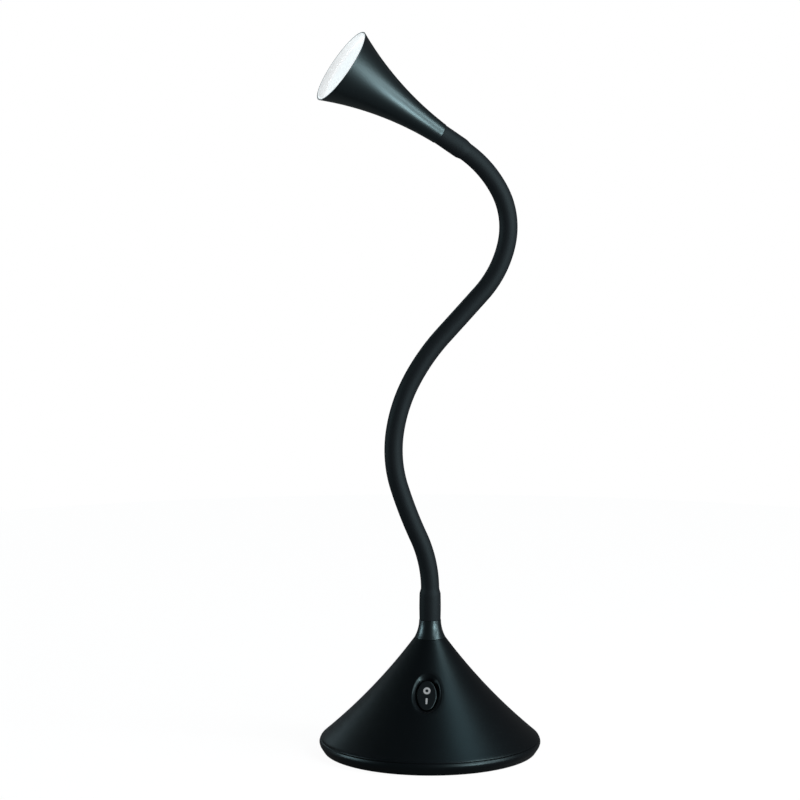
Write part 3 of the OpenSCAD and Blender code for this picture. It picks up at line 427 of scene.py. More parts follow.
def plastic(name, color, rough, specular=0.5, metal=0.0, tint=(1, 1, 1), emission=0.0,
            grain_scale=2600.0, grain_depth=0.02, mottle=0.08, drift=0.05, dust=0.0):
    """A moulded, rubber or metal surface: the grain group drives colour, roughness and bump,
    and dust lightens the colour where its mask says. grain_depth is in millimetres."""
    material = bpy.data.materials.new(name)
    material.use_nodes = True
    material.diffuse_color = (*color, 1)
    tree = material.node_tree
    grain = add_node(tree, "ShaderNodeGroup", node_tree=group_named("Moulded grain", grain_group),
                     Color=(*color, 1), Roughness=rough, Mottle=mottle,
                     **{"Grain scale": grain_scale, "Gloss drift": drift})
    base = grain.outputs["Color"]
    if dust:
        specks = add_node(tree, "ShaderNodeGroup", node_tree=group_named("Fine dust", dust_group),
                          Amount=dust)
        base = add_node(tree, "ShaderNodeMix", data_type="RGBA", Factor=specks.outputs["Mask"],
                        A=base, B=(0.10, 0.11, 0.115, 1)).outputs["Result"]
    bump = add_node(tree, "ShaderNodeBump", Strength=0.5, Distance=grain_depth * MM,
                    Height=grain.outputs["Height"])
    body = tree.nodes["Principled BSDF"].inputs
    for socket, value in (
            ("Base Color", base), ("Roughness", grain.outputs["Roughness"]), ("Metallic", metal),
            ("Normal", bump.outputs["Normal"]), ("Specular IOR Level", specular),
            ("Specular Tint", (*tint, 1)), ("Emission Color", (1, 1, 1, 1)),
            ("Emission Strength", emission)):
        feed(tree, body[socket], value)
    return material


# What plastic() makes each finish from; a word names a setting of LampFinish.
SHEEN = dict(tint="sheen_tint")
METAL = dict(metal=1.0, grain_scale=900.0)
FINISHES = {
    "cover_black": dict(SHEEN, color="satin_black", rough="cover_gloss", specular=0.32,
                        grain_depth=0.012, dust=0.06),
    "head_black": dict(SHEEN, color="satin_black", rough="head_gloss", specular=0.85,
                       grain_depth=0.004, dust=0.03),
    "gloss_black": dict(SHEEN, color="gloss_black", rough=0.33, specular=0.68, grain_depth=0.004),
    "sleeve_rubber": dict(SHEEN, color="sleeve_black", rough="sleeve_gloss", specular=0.20,
                          grain_scale=1500.0, grain_depth=0.05, mottle=0.14, drift=0.10,
                          dust=0.10),
    "switch_plastic": dict(SHEEN, color="switch_black", rough=0.34, specular=0.45,
                           grain_depth=0.01),
    "print_white": dict(color="print_white", rough=0.5, specular=0.4, grain_scale=5000.0,
                        mottle=0.1),
    # shade_white glows: its emission is painted light on the liner, which is no lamp. The diffuser's emission
    # below is the lamp's own light.
    "shade_white": dict(color="shade_white", rough=0.42, specular=0.4, mottle=0.02,
                        emission=0.53),
    "opal_diffuser": dict(color="opal_white", rough=0.38, specular=0.45, mottle=0.015,
                          grain_depth=0.01, emission=0.52),
    "pad_rubber": dict(color=(0.012, 0.012, 0.012), rough=0.8, specular=0.3, grain_depth=0.08,
                       grain_scale=1200.0),
    "plated_steel": dict(METAL, color=(0.60, 0.61, 0.63), rough=0.32, grain_depth=0.01, drift=0.15),
    "brass": dict(METAL, color=(0.72, 0.56, 0.27), rough=0.30, grain_depth=0.01, drift=0.15),
    "sink_aluminium": dict(METAL, color=(0.65, 0.66, 0.68), rough=0.38),
    "circuit_board": dict(color=(0.02, 0.12, 0.05), rough=0.35, grain_scale=700.0, mottle=0.3),
    "dark_component": dict(color=(0.02, 0.022, 0.035), rough=0.4),
    "white_plug": dict(color=(0.75, 0.75, 0.70), rough=0.5),
    "red_wire": dict(color=(0.45, 0.02, 0.015), rough=0.45),
    "black_wire": dict(color=(0.012, 0.012, 0.012), rough=0.45),
    "white_lead": dict(color=(0.70, 0.70, 0.68), rough=0.5),
    "white_board": dict(color=(0.78, 0.78, 0.75), rough=0.4),
    "yellow_chip": dict(color=(0.80, 0.60, 0.08), rough=0.3),
}


def finish(name):
    """The material of one finish, made once. Its name gets a prefix, because the frame's plain
    materials already have the slots' names."""
    prefixed = "finish_" + name
    settings = bpy.context.scene.lamp_finish
    return bpy.data.materials.get(prefixed) or plastic(
        prefixed, **{key: getattr(settings, value) if isinstance(value, str) else value
                     for key, value in FINISHES[name].items()})


# ---- the cone cover ----

class Cone:
    """The cover's side as a curve of height: the shoulder's round, then a hollow arc up to the
    top edge. off moves it inwards."""

    def __init__(self):
        s = shape()
        self.shoulder = s.shoulder
        self.flank = s.flank_curve
        self.shoulder_c = np.array([BASE_R - s.shoulder, s.belly])
        self.top = np.array([CONE_TOP_R, CONE_TOP_Z])
        self.turn = self.meeting_turn()
        self.foot = self.round(self.turn)
        self.centre = arc_centre(self.foot, self.top, self.flank)

    def meeting_turn(self):
        """The turn on the shoulder where the hollow arc leaves it with the same slope, found by
        halving."""
        lo, hi = math.radians(20), math.radians(80)
        for _ in range(40):
            turn = (lo + hi) / 2
            d = self.top - self.round(turn)
            slope = math.atan2(-d[0], d[1]) + math.asin(np.linalg.norm(d) / 2 / self.flank)
            lo, hi = (turn, hi) if slope > turn else (lo, turn)
        return turn

    def round(self, t, off=0.0):
        """Points on the shoulder's round at turns t, moved inwards by off."""
        return self.shoulder_c + (self.shoulder - off) * unit(t)

    def seam_turn(self):
        """The turn on the shoulder's round at the seam."""
        return math.asin((SEAM_Z - self.shoulder_c[1]) / self.shoulder)

    def side(self, rows, off=0.0, shoulder_rows=8):
        """Points from the seam up the rest of the shoulder and then the arc, rows of them on the
        arc; what off carries below the seam is held at its height."""
        t = np.linspace(self.seam_turn(), self.turn, shoulder_rows, endpoint=False)
        points = np.concatenate(
            [self.round(t, off), arc_points(self.foot, self.top, self.flank, rows, off)])
        points[:, 1] = np.maximum(points[:, 1], SEAM_Z)
        return points

    def radius(self, z, off=0.0):
        """Radius of the hollow arc at height z, moved inwards by off."""
        return self.centre[0] - np.sqrt((self.flank + off) ** 2 - (z - self.centre[1]) ** 2)

    def tip(self, z):
        """Angle of the side's normal from upright at height z."""
        return math.acos((self.centre[1] - z) / self.flank)


def leaning(lean):
    """The unit vectors of a frame whose Y leans back from +Y by an angle: X across, Y up, Z out."""
    return (1, 0, 0), (0, math.cos(lean), math.sin(lean)), (0, -math.sin(lean), math.cos(lean))


class Opening:
    """A frame on the cover with its Z out of an opening: places points and finds the cover's
    surface along Z."""

    def __init__(self, cone, origin, across, along, out):
        self.cone = cone
        self.origin, self.across = np.array(origin), np.array(across)
        self.along, self.out = np.array(along), np.array(out)

    def place(self, xy, z):
        """The points origin + x across + y along + z out."""
        return (self.origin + xy[:, :1] * self.across + xy[:, 1:] * self.along
                + np.reshape(z, (-1, 1)) * self.out)

    def flat(self, points):
        """The x and y of points in this frame."""
        d = points - self.origin
        return np.stack([d @ self.across, d @ self.along], 1)

    def surface(self, xy, off=0.0, step=1e-5):
        """Height along Z where the cover's side, moved inwards by off, is met: Newton's steps on
        the distance from the axis less the side's radius at that height."""
        def gap(z):
            p = self.place(xy, z)
            return np.hypot(p[:, 0], p[:, 1]) - self.cone.radius(p[:, 2], off)

        z = np.zeros(len(xy))
        for _ in range(12):
            now = gap(z)
            z = z - now / ((gap(z + step) - now) / step)
        return z

    def on_side(self, xy, off=0.0, drop=0.0):
        """Points on the cover's side, moved inwards by off, and lowered along Z by drop."""
        return self.place(xy, self.surface(xy, off) - drop)


def oval_point(alpha, a, b, grow, end=0.75):
    """Point of a four-arc oval of half width a and half height b whose normal points at angle
    alpha, moved outwards by grow: the two end arcs have radius end * a, and the side arcs the
    radius that joins them without a corner."""
    e = end * a
    r = (a * a + (b - e) ** 2 - e * e) / (2 * (a - e))
    meet = math.atan2(b - e, r - a)
    c, s = np.cos(alpha), np.sin(alpha)
    on_side = np.abs(s) <= math.sin(meet)
    x = np.where(on_side, -np.sign(c) * (r - a) + (r + grow) * c, (e + grow) * c)
    y = np.where(on_side, (r + grow) * s, np.sign(s) * (b - e) + (e + grow) * s)
    return np.stack([x, y], 1)


def alphas_for(angles, a, b, grow):
    """Normal angles whose oval points lie at the given polar angles."""
    table = np.linspace(-math.pi, math.pi, 2881)
    return np.interp(angles, np.unwrap(polar(oval_point(table, a, b, grow))), table)


def window_border(row0, row1, col0, col1, turns):
    """Grid numbers round a window of a lathed grid, once round, as (row, column) arrays."""
    cols, rows = np.arange(col0, col1), np.arange(row0, row1)
    r = np.concatenate([np.full(len(cols), row0), rows, np.full(len(cols), row1), rows[::-1] + 1])
    c = np.concatenate([cols, np.full(len(rows), col1), cols[::-1] + 1, np.full(len(rows), col0)])
    return r, c % turns


def switch_stations(opening, border, inner_border):
    """Section of the dish carried round its oval: along the side to the lip, down the sloping
    wall, through the rocker's opening and back along the inside. The lip is where the wall
    meets the side, rounded by a soft minimum of the two heights."""
    s = shape()
    a, b = s.rocker_half_width + s.rocker_gap, s.rocker_half_height + s.rocker_end_gap
    spread = s.dish_half_width - a
    slope = s.dish_depth / spread
    flat = opening.flat(border)
    alpha = alphas_for(polar(flat), a, b, spread)
    lip = np.full(len(alpha), spread)
    for _ in range(30):
        lip = (opening.surface(oval_point(alpha, a, b, lip)) + s.dish_depth) / slope
    soft = 0.5 * MM
    steps = (1.5, 1.15, 0.85, 0.6, 0.4, 0.2, 0.0, -0.2, -0.4, -0.65)
    edge = oval_point(alpha, a, b, lip + steps[0] * MM)
    rows = [opening.on_side(flat * (1 - t) + edge * t) for t in (0.2, 0.4, 0.6, 0.78, 0.92)]
    for step in steps:
        grow = lip + step * MM
        xy = oval_point(alpha, a, b, grow)
        side, wall = opening.surface(xy), -s.dish_depth + grow * slope
        rows.append(opening.place(xy, (side + wall - np.hypot(side - wall, soft)) / 2))
    for t in (0.35, 0.7):
        grow = (lip + steps[-1] * MM) * (1 - t) + 0.35 * MM * t
        sag = soft ** 2 / 4 / np.maximum(lip - grow, MM) / slope
        rows.append(opening.place(
            oval_point(alpha, a, b, grow), -s.dish_depth + grow * slope - sag))
    back = -0.8
    for grow, z in ((0.35, 0.30), (0.14, 0.06), (0.03, -0.12), (0.0, -0.35), (0.0, back)):
        rows.append(opening.place(oval_point(alpha, a, b, grow * MM), z * MM - s.dish_depth))
    seat = oval_point(alpha, a, b, 4.8 * MM)
    rows.append(opening.place(seat, np.minimum(
        opening.surface(seat, s.cover_wall), back * MM - s.dish_depth)))
    inside = opening.flat(inner_border)
    return rows + [opening.on_side(seat * (1 - t) + inside * t, s.cover_wall) for t in (0.3, 0.65)]


def niche_stations(opening, border, inner_border):
    """Section of the socket's recess carried round its circle: along the side, over a small
    round, down the wall to the floor, through the socket's hole and back along the outside."""
    s = shape()
    flat = opening.flat(border)
    ring = unit(polar(flat))
    over = ((0.7, 0), (0.4, 0.02), (0.2, 0.08), (0.06, 0.22), (0.0, 0.45))
    rows = [opening.on_side(flat * (1 - t) + ring * (s.niche_radius + over[0][0] * MM) * t)
            for t in (0.3, 0.6, 0.85)]
    for grow, drop in over:
        rows.append(opening.on_side(ring * (s.niche_radius + grow * MM), drop=drop * MM))
    wall = ring * s.niche_radius
    lip_z = opening.surface(wall) - over[-1][1] * MM
    for t in (0.25, 0.5, 0.75, 1.0):
        rows.append(opening.place(wall, lip_z * (1 - t) + 0.5 * MM * t))
    outside = s.niche_radius + s.niche_wall
    corner = ((s.niche_radius - step * MM, z * MM) for step, z in (
        (0.08, 0.2), (0.25, 0.05), (0.5, 0)))
    for radius, z in (*corner, (s.jack_hole, 0), (s.jack_hole, -s.niche_back),
                      (outside, -s.niche_back)):
        rows.append(opening.place(ring * radius, z))
    inside = opening.flat(inner_border)
    for xy in (ring * outside, (ring * outside + inside) / 2):
        rows.append(opening.on_side(xy, s.cover_wall))
    return rows


def cover_mesh():
    """The cover as a lathed closed outline with a window cut for the switch and one for the
    power socket; each window is closed by its own section, carried round the opening."""
    s = shape()
    cone = Cone()
    outer = cone.side(s.flank_rows)
    inner = cone.side(s.flank_rows, s.cover_wall)
    inner[:, 1] = np.minimum(inner[:, 1], CONE_TOP_Z - s.deck)
    inner[:, 0] = np.maximum(inner[:, 0], s.neck_hole + 0.5 * MM)
    foot = rounded([(*inner[0], 0), (*outer[0], s.edge_round), (*outer[3], 0)])
    top = [[s.neck_hole, CONE_TOP_Z], [s.neck_hole, CONE_TOP_Z - s.deck]]
    outline = np.concatenate([foot[:-1], outer[3:], top, inner[::-1]])
    # Row i of outer is the grid's row first_outer + i, and row i of inner is last_inner - i.
    first_outer, last_inner = len(foot) - 4, len(outline) - 1
    points, quads = lathe(outline, s.turns)
    grid = points.reshape(len(outline), s.turns, 3)
    keep = np.ones(grid.shape[:2], bool)
    extra_points, extra_quads = [points], []
    used = len(points)
    column_turns = polar(grid[0])
    height = s.switch_height
    switch = Opening(cone, (0, s.switch_sink - cone.radius(height), height),
                     *leaning(cone.tip(height)))
    niche = Opening(cone, (0, NICHE_Y, JACK_Z), (-1, 0, 0), (0, 0, 1), (0, 1, 0))
    # Each opening with its section, the way it faces, half its window's columns and its heights.
    plans = ((switch, switch_stations, -math.pi / 2, 15, height - 13 * MM, height + 12.2 * MM),
             (niche, niche_stations, math.pi / 2, 9, JACK_Z - 9 * MM, JACK_Z + 11 * MM))
    for opening, stations, facing, half_cols, *z_range in plans:
        middle = int(np.argmin(np.abs(column_turns - facing)))
        i0, i1 = np.searchsorted(outer[:, 1], z_range)
        rows, cols = window_border(i0, i1, middle - half_cols, middle + half_cols, s.turns)
        border, inner_border = grid[first_outer + rows, cols], grid[last_inner - rows, cols]
        band = np.concatenate([[border], stations(opening, border, inner_border), [inner_border]])
        extra_points.append(band.reshape(-1, 3))
        extra_quads.append(quads_of(len(band), len(border), first=used))
        used += len(band) * len(border)
        inside = np.arange(middle - half_cols, middle + half_cols) % s.turns
        for i in range(i0, i1):
            keep[first_outer + i, inside] = False
            keep[last_inner - 1 - i, inside] = False
    quads = quads.reshape(*keep.shape, 4)[keep]
    return np.concatenate(extra_points), np.concatenate([quads, *extra_quads])


class LAMP_OT_cover(bpy.types.Operator):
    """Build the cone cover with the switch's dish and the socket's recess"""
    bl_idname = "lamp.cover"
    bl_label = "Cone cover"

    def execute(self, context):
        piece = add_piece("cone_cover", *cover_mesh(), "cover_black", "black_cover", sharp=40)
        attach(piece, "base")
        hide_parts("base_cone")
        return {"FINISHED"}


class LAMP_OT_pan(bpy.types.Operator):
    """Build the base pan under the cover and the rubber pad that the lamp stands on"""
    bl_idname = "lamp.pan"
    bl_label = "Base pan and foot pad"

    def execute(self, context):
        s = shape()
        cone = Cone()
        gap, wall = 0.15 * MM, 1.6 * MM
        bottom, spigot_top = low("base_pan").z, high("base_pan").z
        foot_r, recess = BASE_R - s.pan_lean, PAD_R + gap
        spigot_r = cone.radius(spigot_top, s.cover_wall) - gap
        floor_z = PAD_T + 1.8 * MM
        seam_z = SEAM_Z - 0.05 * MM
        belly = cone.round(np.linspace(0, 0.72, 5) * cone.seam_turn())
        outline = rounded([
            (0, PAD_T, 0), (recess, PAD_T, 0), (recess, bottom, 0.2 * MM),
            (foot_r, bottom, 1.2 * MM), (BASE_R - 0.5 * MM, s.belly - 1.7 * MM, 2.5 * MM),
            *((x, z, 0) for x, z in belly),
            (cone.round(cone.seam_turn())[0], seam_z, s.seam_round), (spigot_r, seam_z, 0),
            (spigot_r, spigot_top, 0.2 * MM), (spigot_r - wall, spigot_top, 0.2 * MM),
            (spigot_r - wall, floor_z, 0.3 * MM), (0, floor_z, 0)])
        pan = add_piece("base_pan_shell", *lathe(outline, s.turns), "cover_black", "black_pan",
                        sharp=50)
        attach(pan, "base")
        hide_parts("base_pan")
        outline = [(0, 0, 0)]
        for groove_r in PAD_R * (0.30 + 0.14 * np.arange(5)):
            outline += [(groove_r + across * MM, depth * MM, 0) for across, depth in (
                (-0.8, 0), (-0.4, 0.25), (0.4, 0.25), (0.8, 0))]
        top = PAD_T - 0.02 * MM
        outline += [(PAD_R, 0, 0.3 * MM), (PAD_R, top, 0), (0, top, 0)]
        pad = add_piece("foot_pad_rubber", *lathe(rounded(outline), s.turns), "pad_rubber",
                        "foot_rubber")
        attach(pad, "base")
        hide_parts("foot_pad")
        return {"FINISHED"}


class LAMP_OT_collar(bpy.types.Operator):
    """Build the glossy flared collar between the cone and the neck"""
    bl_idname = "lamp.collar"
    bl_label = "Collar"

    def execute(self, context):
        s = shape()
        bore = s.sleeve_bore + 0.95 * MM
        foot, tip = (CONE_TOP_R, CONE_TOP_Z), (s.collar_tip, COLLAR_TOP_Z)
        side = arc_points(foot, tip, s.collar_curve, steps=28)
        start = rounded([(bore, CONE_TOP_Z, 0), (*foot, s.edge_round), (*side[2], 0)])[:-1]
        end = rounded([(*side[-3], 0), (*tip, s.edge_round), (bore, COLLAR_TOP_Z, 0)])[1:]
        outline = np.concatenate([start, side[2:-2], end])
        piece = add_piece("collar_shell", *lathe(outline, s.turns // 2), "gloss_black",
                          "black_collar", sharp=50)
        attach(piece, "base")
        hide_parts("neck_collar")
        return {"FINISHED"}


# ---- the neck ----

class Link:
    """One arc of the neck's middle line: start, unit heading, unit direction that it bends to,
    turn and length. A point at share t is start + length * (sin(turn t) heading
    + (1 - cos(turn t)) bend) / turn."""

    def __init__(self, start, heading, bend, turn, length_):
        self.start, self.heading, self.bend = start, heading, bend
        self.turn, self.length = turn, length_

    def at(self, t):
        t = np.reshape(t, (-1, 1))
        if abs(self.turn) < 1e-5:
            return self.start + self.length * t * self.heading, self.heading + 0 * t
        a = self.turn * t
        point = self.start + self.length / self.turn * (
            np.sin(a) * self.heading + (1 - np.cos(a)) * self.bend)
        return point, np.cos(a) * self.heading + np.sin(a) * self.bend


def neck_links():
    """The neck's links from the joints' places: each link leaves along the last heading and ends
    on the next joint, so the chord halves its turn."""
    stops = [np.array([0, 0, NECK_FOOT_Z])] + [np.array(j["pos_m"]) for j in NECK_JOINTS]
    heading = UP
    links = []
    for a, b in zip(stops, stops[1:]):
        chord = np.linalg.norm(b - a)
        way = (b - a) / chord
        half = math.acos(min(1.0, heading @ way))
        across = way - (heading @ way) * heading
        size = np.linalg.norm(across)
        bend = across / size if size > 1e-6 else np.zeros(3)
        arc = chord if half < 1e-5 else chord * half / math.sin(half)
        links.append(Link(a, heading, bend, 2 * half if size > 1e-6 else 0.0, arc))
        heading = 2 * (heading @ way) * way - heading
        heading = heading / np.linalg.norm(heading)
    links.append(Link(stops[-1], heading, np.zeros(3), 0.0, shape().tip_length))
    return links


def link_ends(links):
    """Lengths along the neck at which its links end, with the neck's foot first."""
    return np.cumsum([0] + [k.length for k in links])


def neck_at(links, s):
    """Points and tangents at lengths s along the whole neck."""
    ends = link_ends(links)
    which = np.clip(np.searchsorted(ends, s, side="right") - 1, 0, len(links) - 1)
    points, tangents = np.zeros((len(s), 3)), np.zeros((len(s), 3))
    for i, k in enumerate(links):
        mine = which == i
        if mine.any():
            points[mine], tangents[mine] = k.at((s[mine] - ends[i]) / k.length)
    return points, tangents


def smooth(t):
    """The smooth step 3t^2 - 2t^3, held at 0 and 1 outside."""
    t = np.clip(t, 0, 1)
    return t * t * (3 - 2 * t)


def sleeve_radius(s, total):
    """Radius of the sleeve at length s: thin along the neck, thick over the fitting at each end,
    with a smooth step between, and a low swell along the foot's cuff."""
    p = shape()
    lower = 1 - smooth((s - p.cuff_length) / p.cuff_taper)
    upper = 1 - smooth((total - s - p.cuff_length) / p.cuff_taper)
    swell = p.cuff_bulge * np.sin(math.pi * np.clip(s / p.cuff_length, 0, 1))
    return (p.sleeve_radius + (p.foot_cuff - p.sleeve_radius) * lower + swell
            + (p.tip_cuff - p.sleeve_radius) * upper)


def rings_round(points, tangents, radius, sides):
    """Rings of the given radius round a line in the neck's plane, each square to the line."""
    side = np.array(NECK_JOINTS[0]["axis"])
    other = np.cross(tangents, side)
    x, y = unit(once_round(sides)).T[..., None]
    return points[:, None] + np.reshape(radius, (-1, 1, 1)) * (x * side + y * other[:, None])


def sleeve_piece(name, links, s0, s1, sides=64, step=0.9 * MM):
    """The sleeve between lengths s0 and s1: rings square to the middle line, out along the
    outside and back along the inside, so the tube is closed."""
    s = np.linspace(s0, s1, max(4, round((s1 - s0) / step)) + 1)
    points, tangents = neck_at(links, s)
    outer = rings_round(points, tangents, sleeve_radius(s, link_ends(links)[-1]), sides)
    inner = rings_round(points, tangents, shape().sleeve_bore, sides)
    grid = np.concatenate([outer, inner[::-1]])
    quads = quads_of(len(grid), sides, ring_rows=True)
    return add_piece(name, grid.reshape(-1, 3), quads, "sleeve_rubber", "neck_rubber")


def lead_route(steps=6):
    """The lead's way from its plug on the board up to the neck's foot: points and tangents of
    the curve 0.5 (2 b + (c - a) t + (2 a - 5 b + 4 c - d) t^2 + (3 b - a - 3 c + d) t^3) through
    the stops, with a and d the stops before b and after c."""
    across = np.cross(UP, NECK_JOINTS[0]["axis"])
    u, z = np.array(LEAD_STOPS).T[..., None] * MM
    stops = np.concatenate([u * across + z * UP, [NECK_FOOT_Z * UP]])[:, None]
    last = len(stops) - 1
    a, b, c, d = (stops[np.clip(np.arange(last) + k, 0, last)] for k in (-1, 0, 1, 2))
    t = np.linspace(0, 1, steps, endpoint=False)[None, :, None]
    first, second, third = c - a, 2 * a - 5 * b + 4 * c - d, 3 * b - a - 3 * c + d
    points = 0.5 * (2 * b + first * t + second * t ** 2 + third * t ** 3)
    tangents = first + 2 * second * t + 3 * third * t ** 2
    tangents = tangents / np.linalg.norm(tangents, axis=-1, keepdims=True)
    return points.reshape(-1, 3), tangents.reshape(-1, 3)


def lead_piece(name, points, tangents, sides=16):
    """A stretch of the lead: rings along its line, closed to a point in the middle of each end."""
    which = [0, *range(len(points)), -1]
    radius = np.full(len(which), shape().lead_radius)
    radius[[0, -1]] = 0
    grid = rings_round(points[which], tangents[which], radius, sides)
    return add_piece(name, grid.reshape(-1, 3), quads_of(len(grid), sides), "white_lead",
                     "white_lead")


def neck_cuts(links):
    """Lengths at which the links end, and those at which the neck's pieces end: over the
    fitting, in the middle of each link and a little way into the tip."""
    s = shape()
    ends = link_ends(links)
    cuts = [s.fitting] + [(ends[i] + ends[i + 1]) / 2 for i in range(1, len(links) - 1)]
    return ends, cuts + [ends[-1] - s.tip_length + s.tip_bend]


def blend_at(piece, i, links, ends, cuts, reach=0.4):
    """Works out the span across joint i over a share of the links on both its sides, and bakes the piece's place
    into its mesh; the piece is not bent.
    """
    joint, pivot = NECK_JOINTS[i], ends[i + 1]
    before = min(pivot - cuts[i], reach * links[i].length) if i else pivot - cuts[i]
    after = min(cuts[i + 1] - pivot, reach * links[i + 1].length)
    span, _ = neck_at(links, np.array([pivot - before, pivot + after]))
    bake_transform(piece)


class LAMP_OT_neck(bpy.types.Operator):
    """Build the neck's sleeve in sections, each across one joint"""
    bl_idname = "lamp.neck"
    bl_label = "Neck sleeve"

    def execute(self, context):
        links = neck_links()
        ends, cuts = neck_cuts(links)
        lower = sleeve_piece("sleeve_foot", links, 0, cuts[0])
        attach(lower, "base")
        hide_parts("neck_sleeve_00")
        for i in range(len(NECK_JOINTS)):
            piece = sleeve_piece(f"sleeve_bend_{i + 1:02d}", links, cuts[i], cuts[i + 1])
            blend_at(piece, i, links, ends, cuts)
            if i < len(NECK_JOINTS) - 1:
                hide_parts(f"neck_sleeve_{i + 1:02d}")
        upper = sleeve_piece("sleeve_tip", links, cuts[-1], ends[-1])
        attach(upper, "head")
        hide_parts("neck_sleeve_10")
        return {"FINISHED"}


class LAMP_OT_lead(bpy.types.Operator):
    """Build the lead through the neck in sections, one across each joint of the sleeve"""
    bl_idname = "lamp.lead"
    bl_label = "Lead"

    def execute(self, context):
        links = neck_links()
        ends, cuts = neck_cuts(links)
        foot = zip(lead_route(), neck_at(links, np.linspace(0, cuts[0], 7)))
        lower = lead_piece("lead_foot", *(np.concatenate(pair) for pair in foot))
        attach(lower, "base")
        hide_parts("neck_lead")
        for i in range(len(NECK_JOINTS)):
            stretch = neck_at(links, np.linspace(cuts[i], cuts[i + 1], 13))
            blend_at(lead_piece(f"lead_bend_{i + 1:02d}", *stretch), i, links, ends, cuts)
        start, way = neck_at(links, np.array([cuts[-1]]))
        run = ends[-1] - cuts[-1] + shape().lead_reach
        upper = lead_piece("lead_tip", start + np.array([[0], [run]]) * way,
                           np.repeat(way, 2, axis=0))
        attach(upper, "head")
        return {"FINISHED"}


# ---- the head ----

def head_frame():
    """The head's foot and axis: the end of the neck's middle line."""
    links = neck_links()
    point, way = links[-1].at([1.0])
    return point[0], way[0]


def head_side(off, steps=72):
    """The head's hollow side as (radius, height), moved inwards by off."""
    s = shape()
    return arc_points((s.head_foot, 0), (s.mouth, s.head_length), s.head_curve, steps, off)


def cut_side(off, low_z, high_z):
    """The part of the head's side between two heights, ends included."""
    side = head_side(off)
    z = np.concatenate([[low_z], side[(side[:, 1] > low_z) & (side[:, 1] < high_z), 1], [high_z]])
    return np.stack([np.interp(z, side[:, 1], side[:, 0]), z], 1)


def lip_side(low_z, high_z, off=0.0):
    """The lip's inside: moved inwards by the lip's wall at low_z and by its edge's width at
    high_z, evenly between, and by off more."""
    s = shape()
    deep, thin = (cut_side(wall + off, low_z, high_z) for wall in (s.lip_wall, s.lip_edge))
    t = (deep[:, 1:] - low_z) / (high_z - low_z)
    return np.column_stack([deep[:, :1] * (1 - t) + np.interp(
        deep[:, 1:], thin[:, 1], thin[:, 0]) * t, deep[:, 1:]])


class LAMP_OT_head(bpy.types.Operator):
    """Build the trumpet-shaped shell, the white ring inside its mouth and the diffuser"""
    bl_idname = "lamp.head"
    bl_label = "Lamp head"

    def execute(self, context):
        s = shape()
        place = head_frame()
        seat = 0.4 * MM
        rim_z = s.head_length - s.diffuser_depth - s.diffuser_thickness - seat
        self.shell(place, rim_z)
        self.ring(place, rim_z)
        self.diffuser(place)
        return {"FINISHED"}

    def shell(self, place, rim_z, bore=4.1 * MM, boss=22 * MM):
        """The shell: solid round its bore up to the boss's height, and then a wall that thins to
        the lip's edge."""
        s = shape()
        side = head_side(0)
        foot = rounded([(bore, 0, 0), (s.head_foot, 0, s.edge_round), (*side[2], 0)])[:-1]
        lip_in = lip_side(rim_z, s.head_length)[::-1]
        lip_round = 0.4 * s.lip_edge
        lip = rounded([(*side[-2], 0), (s.mouth, s.head_length, lip_round),
                       (lip_in[0][0], s.head_length, lip_round), (*lip_in[1], 0)],
                      steps=6)[1:-1]
        wall_in = cut_side(s.head_wall, boss, rim_z)[::-1]
        outline = np.concatenate([foot, side[2:-1], lip, lip_in[1:], wall_in, [[bore, boss]]])
        piece = add_piece("head_shell_skin", *lathe(outline, s.head_turns, *place), "head_black",
                          "black_head", sharp=50)
        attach(piece, "head")
        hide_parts("head_shell")

    def ring(self, place, rim_z, back=44.5 * MM, gap=0.1 * MM, thickness=1 * MM):
        """The white liner: a thin cone behind the diffuser that ends in a rim round it; its finish has a painted
        glow, as the liner is no lamp.
        """
        s = shape()
        out = np.concatenate([
            cut_side(s.head_wall + gap, back, rim_z),
            lip_side(rim_z + 0.05 * MM, s.head_length - 0.05 * MM, gap)])
        into = np.concatenate([
            cut_side(s.head_wall + gap + thickness, back, rim_z),
            cut_side(s.lip_wall + 1.05 * MM, rim_z + 0.4 * MM, s.head_length - 0.55 * MM)])[::-1]
        edge = (out[-1][0] - 1.1 * MM, out[-1][1], 0.5 * MM)
        lip = rounded([(*out[-2], 0), (*out[-1], 0.15 * MM), edge, (*into[1], 0)], steps=5)[1:-1]
        outline = np.concatenate([out[:-1], lip, into[1:]])
        piece = add_piece("mouth_liner", *lathe(outline, s.mouth_turns, *place), "shade_white",
                          "white_reflector", sharp=50)
        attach(piece, "head")
        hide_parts("head_reflector")

    def diffuser(self, place, crown=0.45 * MM):
        """The opal disc: its face is crowned by a shallow parabola."""
        s = shape()
        top = s.head_length - s.diffuser_depth
        bottom = top - s.diffuser_thickness
        edge = cut_side(s.lip_wall + 1.15 * MM, bottom, top)
        radius = edge[-1][0]
        u = np.linspace(0.96, 0, 22)
        face = np.stack([radius * u, top + crown * (1 - u ** 2) - 0.25 * MM], 1)
        outline = np.concatenate([[[0, bottom]], edge[:-1], [[radius, top - 0.30 * MM]], face])
        piece = add_piece("diffuser_disc", *lathe(outline, s.mouth_turns, *place),
                          "opal_diffuser", "opal_diffuser", sharp=50)
        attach(piece, "head")
        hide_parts("head_diffuser")


# ---- the switch ----

def rocker_points(rings):
    """Rings of points in the rocker's own frame at rest as one list of places: its origin is on
    the pivot, X along it, Y up the rocker and Z out of its face."""
    s = shape()
    cone = Cone()
    own = Opening(cone, ROCKER_JOINT["pos_m"], *leaning(cone.tip(s.switch_height) + s.rocker_tilt))
    points = np.reshape(rings, (-1, 3))
    return own.place(points[:, :2], points[:, 2])


def rocker_face(y):
    """Height of the rocker's hollow face over its pivot at y: a shallow arc, lowest in the
    middle."""
    s = shape()
    bend = (s.rocker_half_height ** 2 + s.rocker_dip ** 2) / (2 * s.rocker_dip)
    return s.rocker_face - s.rocker_dip + bend - np.sqrt(bend ** 2 - y ** 2)


